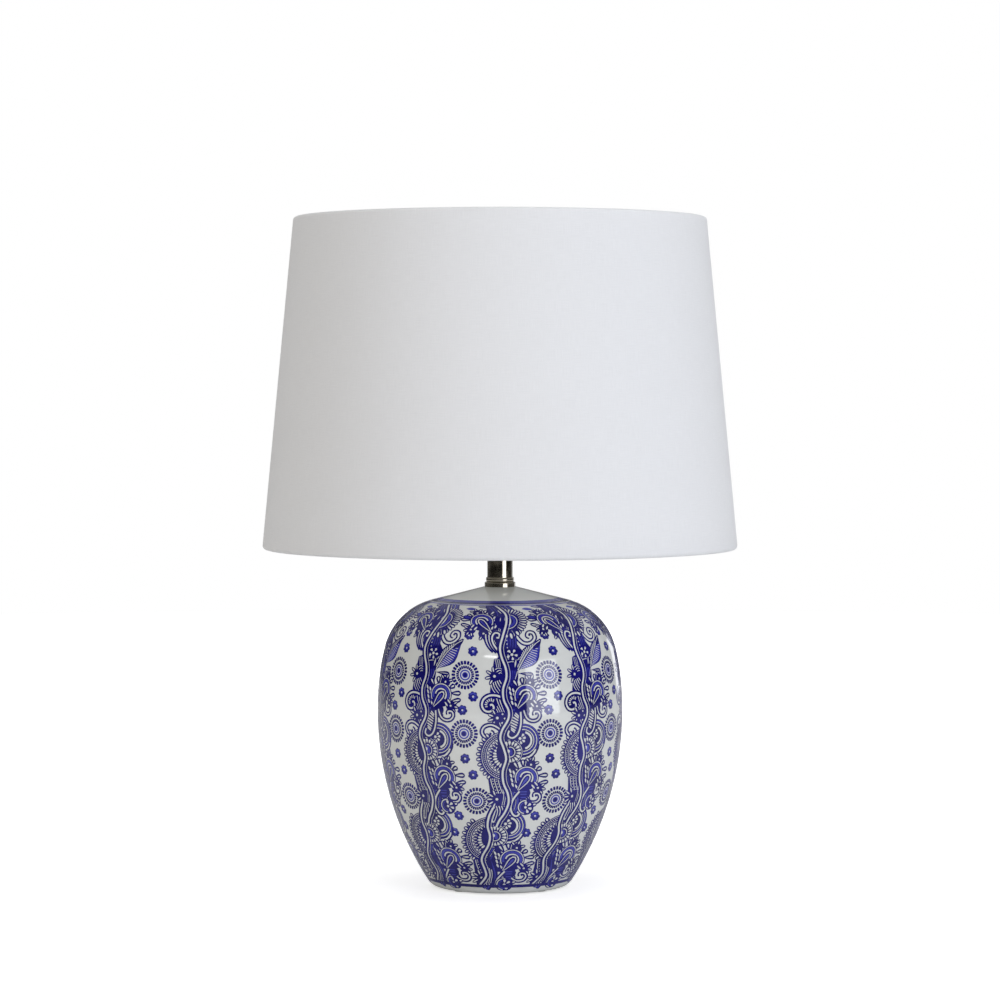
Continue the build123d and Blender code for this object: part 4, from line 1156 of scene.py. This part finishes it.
def print_vines():
    """The vines in both tones. In full blue each vine is a piece, as it has many small faces."""
    tree = vine_layers()
    corners, cells, tones = sector_cells()
    points = wrapped(corners, FRONT_VINE_TURN) * MM
    for tone, finish in ((INK, "ink"), (WASH, "wash")):
        # The flat drawing runs downwards, so its triangles are turned to face outwards
        used, faces = np.unique(cells[tones == tone][:, ::-1], return_inverse=True)
        faces = faces.reshape(-1, 3)
        share = 1 if tone == INK else VINE_COUNT
        for part in range(VINE_COUNT // share):
            name = f"{finish}_vines_{part + 1}"
            mesh = arranged(
                name, points[used], faces, tree, thickness=(PRINT_RISE + PRINT_SINK) * MM, count=share,
                first_turn=part * share * VINE_TURN, turn=VINE_TURN, material=FINISHES[finish],
            )
            shown(name, mesh, "lamp")


def ring_lines():
    """The bands round the shoulder and the foot."""
    for name, (first, last, finish) in RING_LINES.items():
        runs = np.linspace(first, last, BAND_POINTS)
        outer = np.stack(on_glaze(runs, PRINT_RISE), 1)
        inner = np.stack(on_glaze(runs, -PRINT_SINK), 1)
        outline = [*outer[::-1], *inner]
        piece(name, *turned(outline, evenly(JAR_SIDES)), finish, "lamp", "glaze")


print_vines()
ring_lines()


# --- Shade -----------------------------------------------------------------------------------

def hoop_section(node):
    """Radius and height of a rim wire's centre."""
    low, high = corner_mm(node, 0), corner_mm(node, 1)
    return np.array((high.x - WIRE_RADIUS, (low.z + high.z) / 2))


LOWER_WIRE, UPPER_WIRE = hoop_section("bottom_ring_wire"), hoop_section("top_ring_wire")
SLANT = (UPPER_WIRE - LOWER_WIRE) / np.linalg.norm(UPPER_WIRE - LOWER_WIRE)
SLANT_OUT = np.array((SLANT[1], -SLANT[0]))


def roll(wire, radius, first, last, steps=9):
    """Points round a rim wire, by angles from straight out of the cloth towards the top."""
    turns = np.linspace(radians(first), radians(last), steps)
    return [wire + radius * (cos(t) * SLANT_OUT + sin(t) * SLANT) for t in turns]


def cloth_outline():
    """The cloth's section: up the outside, over both wires and back inside them."""
    inside = RIM_RADIUS - COVER_THICKNESS
    faces = [wire + out * SLANT_OUT for wire in (LOWER_WIRE, UPPER_WIRE) for out in (RIM_RADIUS, inside)]
    climb = np.linspace(0, 1, CLOTH_ROWS)[1:-1, None]
    outer = [*(faces[0] + (faces[2] - faces[0]) * climb)]
    inner = [*(faces[3] + (faces[1] - faces[3]) * climb)]
    fold = SLANT * COVER_RETURN
    back = -SLANT_OUT
    return (
        roll(LOWER_WIRE, RIM_RADIUS, -180, 0)
        + outer
        + roll(UPPER_WIRE, RIM_RADIUS, 0, 180)
        + [UPPER_WIRE + back * RIM_RADIUS - fold, UPPER_WIRE + back * inside - fold]
        + roll(UPPER_WIRE, inside, 180, 0)
        + inner
        + roll(LOWER_WIRE, inside, 0, -180)
        + [LOWER_WIRE + back * inside + fold, LOWER_WIRE + back * RIM_RADIUS + fold]
    )


def shade_turns():
    """Turns of the cloth's threads, with a close pair at each end of the overlap, and which lie in it."""
    half = SEAM_WIDTH / 2 / LOWER_WIRE[0]
    edge = SEAM_EDGE / LOWER_WIRE[0]
    ends = [pi - half - edge, pi - half, pi + half, pi + half + edge]
    plain = [t for t in evenly(SHADE_SIDES) if abs(t - pi) > half * SEAM_MARGIN]
    turns = np.array(sorted(plain + ends))
    return turns, abs(turns - pi) < half + edge / 2


def cloth_uv(mesh, outline, turns):
    """Lays the cloth flat: across by the turn, along by the outline's length."""
    run = np.concatenate([[0.0], np.cumsum(np.linalg.norm(np.diff(outline, axis=0), axis=1))])
    count = len(turns)
    layer = mesh.uv_layers.new(name="cloth")
    corners = np.zeros(len(mesh.loops), int)
    mesh.loops.foreach_get("vertex_index", corners)
    rows, columns = corners // count, corners % count
    width = turns[columns] * LOWER_WIRE[0]
    starts = np.zeros(len(mesh.polygons), int)
    mesh.polygons.foreach_get("loop_start", starts)
    face = np.repeat(np.arange(len(starts)), 4)
    last = (face % count) == count - 1
    width = np.where(last & (columns == 0), (turns[0] + 2 * pi) * LOWER_WIRE[0], width)
    length = run[rows]
    closing = (face // count) == len(outline) - 1
    length = np.where(closing & (rows == 0), run[-1] + np.linalg.norm(outline[0] - outline[-1]), length)
    layer.data.foreach_set("uv", (np.stack([width, length], 1) * MM).ravel())


def shade_cloth():
    """The cotton over the liner, notched round the fitter's arms."""
    outline = np.array(cloth_outline())
    turns, lapped = shade_turns()
    outside = np.zeros(len(outline))
    outside[:len(outline) // 2] = 1.0
    lift = outside[:, None] * lapped * SEAM_LIFT
    cloth = piece("shade_cloth", *turned(outline, turns, lift), "cotton", "shade", "shade_cloth")
    cloth_uv(cloth.data, outline, turns)
    low = LOWER_WIRE - SLANT_OUT * ARM_NOTCH_START
    high = LOWER_WIRE + (SLANT - SLANT_OUT) * ARM_NOTCH_RUN
    ends = [[(p[0] * cos(radians(t)), p[0] * sin(radians(t)), p[1]) for p in (low, high)] for t in ARM_TURNS]
    cut(cloth, bars(ARM_NOTCH_RADIUS, ends))
    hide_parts("shade_cover")
    return cloth


cloth = shade_cloth()


# --- Studio ----------------------------------------------------------------------------------

CAMERA_PLACE = (0.0, -2.473, 0.378)
CAMERA_TILT = 2.03                  # degrees below level
CAMERA_LENS = 118.7
CAMERA_REACH = 30.0
FLOOR_RADIUS = 3.0
FLOOR_SIDES = 96
FLOOR_FADE = (0.3, 1.2)             # distances between which the floor fades to white
FLOOR_GLOW = (0.62, 0.4)            # of the floor near the lamp, and what the fade adds
FLOOR_GAP = 0.042                   # radius under the jar that lets light into the foot's recess
FLOOR_GAP_BLUR = 0.004
ROOM_FADE = (-0.2, 0.9)             # share of the way back between which the room grows bright
ROOM_GLOW = (0.015, 0.14)           # of the room in front, and what the fade adds
AMBIENT = 0.41


def studio_floor():
    """A pale floor that fades to white away from the lamp, is clear from below and open under the jar."""
    shape = bmesh.new()
    bmesh.ops.create_circle(shape, cap_ends=True, segments=FLOOR_SIDES, radius=FLOOR_RADIUS)
    mesh = bpy.data.meshes.new("floor")
    shape.to_mesh(mesh)
    shape.free()
    floor = bpy.data.objects.new("floor", mesh)
    bpy.context.scene.collection.objects.link(floor)
    f = Finish("floor")
    reach = f.node("VectorMath", {"operation": "LENGTH"}, {0: f.place}, "Value")
    glow = f.ramp(reach, *FLOOR_FADE) * FLOOR_GLOW[1] + FLOOR_GLOW[0]
    lit = f.node("BsdfDiffuse", values={"Color": paint("E6E6E6")})
    shine = f.node("Emission", values={"Color": (1, 1, 1, 1), "Strength": glow})
    both = f.node("AddShader", values={0: lit, 1: shine})
    seen = f.node("LightPath", output="Is Camera Ray")
    above = f.node("MixShader", values={0: seen, 1: lit, 2: both})
    under_jar = 1 - f.ramp(reach, FLOOR_GAP - FLOOR_GAP_BLUR, FLOOR_GAP)
    below = f.maths("MAXIMUM", f.node("NewGeometry", output="Backfacing"), under_jar)
    clear = f.node("BsdfTransparent")
    f.node("OutputMaterial", values={"Surface": f.node("MixShader", values={0: below, 1: above, 2: clear})})
    mesh.materials.append(f.material)


def studio_world():
    """White behind the lamp, and a dim room in front of it for polished metal to show."""
    world = bpy.data.worlds.new("studio")
    bpy.context.scene.world = world
    world.use_nodes = True
    n = Nodes(world.node_tree)
    ray = n.node("LightPath")
    way = n.node("SeparateXYZ", values={"Vector": n.node("TexCoord", output="Generated")})
    room = n.ramp(way.output("Y"), *ROOM_FADE) * ROOM_GLOW[1] + ROOM_GLOW[0]
    plain = n.maths("MAXIMUM", ray.output("Is Camera Ray"), ray.output("Is Transmission Ray"))
    glossy = ray.output("Is Glossy Ray")
    light = glossy * room + (1 - glossy) * AMBIENT
    strength = plain + (1 - plain) * light
    sky = n.node("Background", values={"Color": (1, 1, 1, 1), "Strength": strength})
    n.node("OutputWorld", values={"Surface": sky})


# Each soft box: its place and aim, its width and height, its power in watts, its tint, and whether
# polished things show it. The studio's lengths are in metres.
SOFT_BOXES = {
    "key_box": ((1.35, -1.6, 0.42), (0.0, 0.0, 0.26), (1.2, 0.9), 19.0, "F4F7FF", True),
    "front_strip": ((-0.35, -2.2, 1.15), (0.0, 0.0, 0.2), (0.5, 0.12), 2.2, "FFFFFF", True),
    "right_strip": ((1.25, 1.9, 0.22), (0.0, 0.0, 0.22), (0.4, 0.7), 1.6, "F4F7FF", True),
    "left_fill": ((-1.95, -1.3, 0.42), (0.0, 0.0, 0.26), (1.4, 1.1), 9.6, "FFF4E4", False),
    "top_fill": ((0.2, -0.3, 2.3), (0.0, 0.0, 0.3), (1.6, 1.6), 15.0, "FFFFFF", False),
    "back_fill": ((0.0, 2.4, 0.9), (0.0, 0.0, 0.26), (1.4, 1.1), 13.0, "FFFFFF", False),
}


def soft_boxes():
    for name, (place, aim, size, power, tint, mirrored) in SOFT_BOXES.items():
        lamp = bpy.data.lights.new(name, "AREA")
        lamp.shape = "RECTANGLE"
        lamp.size, lamp.size_y = size
        lamp.energy = power
        lamp.color = paint(tint)[:3]
        box = bpy.data.objects.new(name, lamp)
        box.location = place
        box.visible_glossy = mirrored
        box.rotation_euler = (Vector(aim) - Vector(place)).to_track_quat("-Z", "Y").to_euler()
        bpy.context.scene.collection.objects.link(box)


def camera():
    lens = bpy.data.cameras.new("camera")
    lens.lens = CAMERA_LENS
    lens.clip_end = CAMERA_REACH
    viewer = bpy.data.objects.new("camera", lens)
    viewer.location = CAMERA_PLACE
    viewer.rotation_euler = (radians(90 - CAMERA_TILT), 0.0, 0.0)
    bpy.context.scene.collection.objects.link(viewer)
    bpy.context.scene.camera = viewer


studio_floor()
studio_world()
soft_boxes()
camera()
bpy.context.scene.view_settings.view_transform = "Standard"
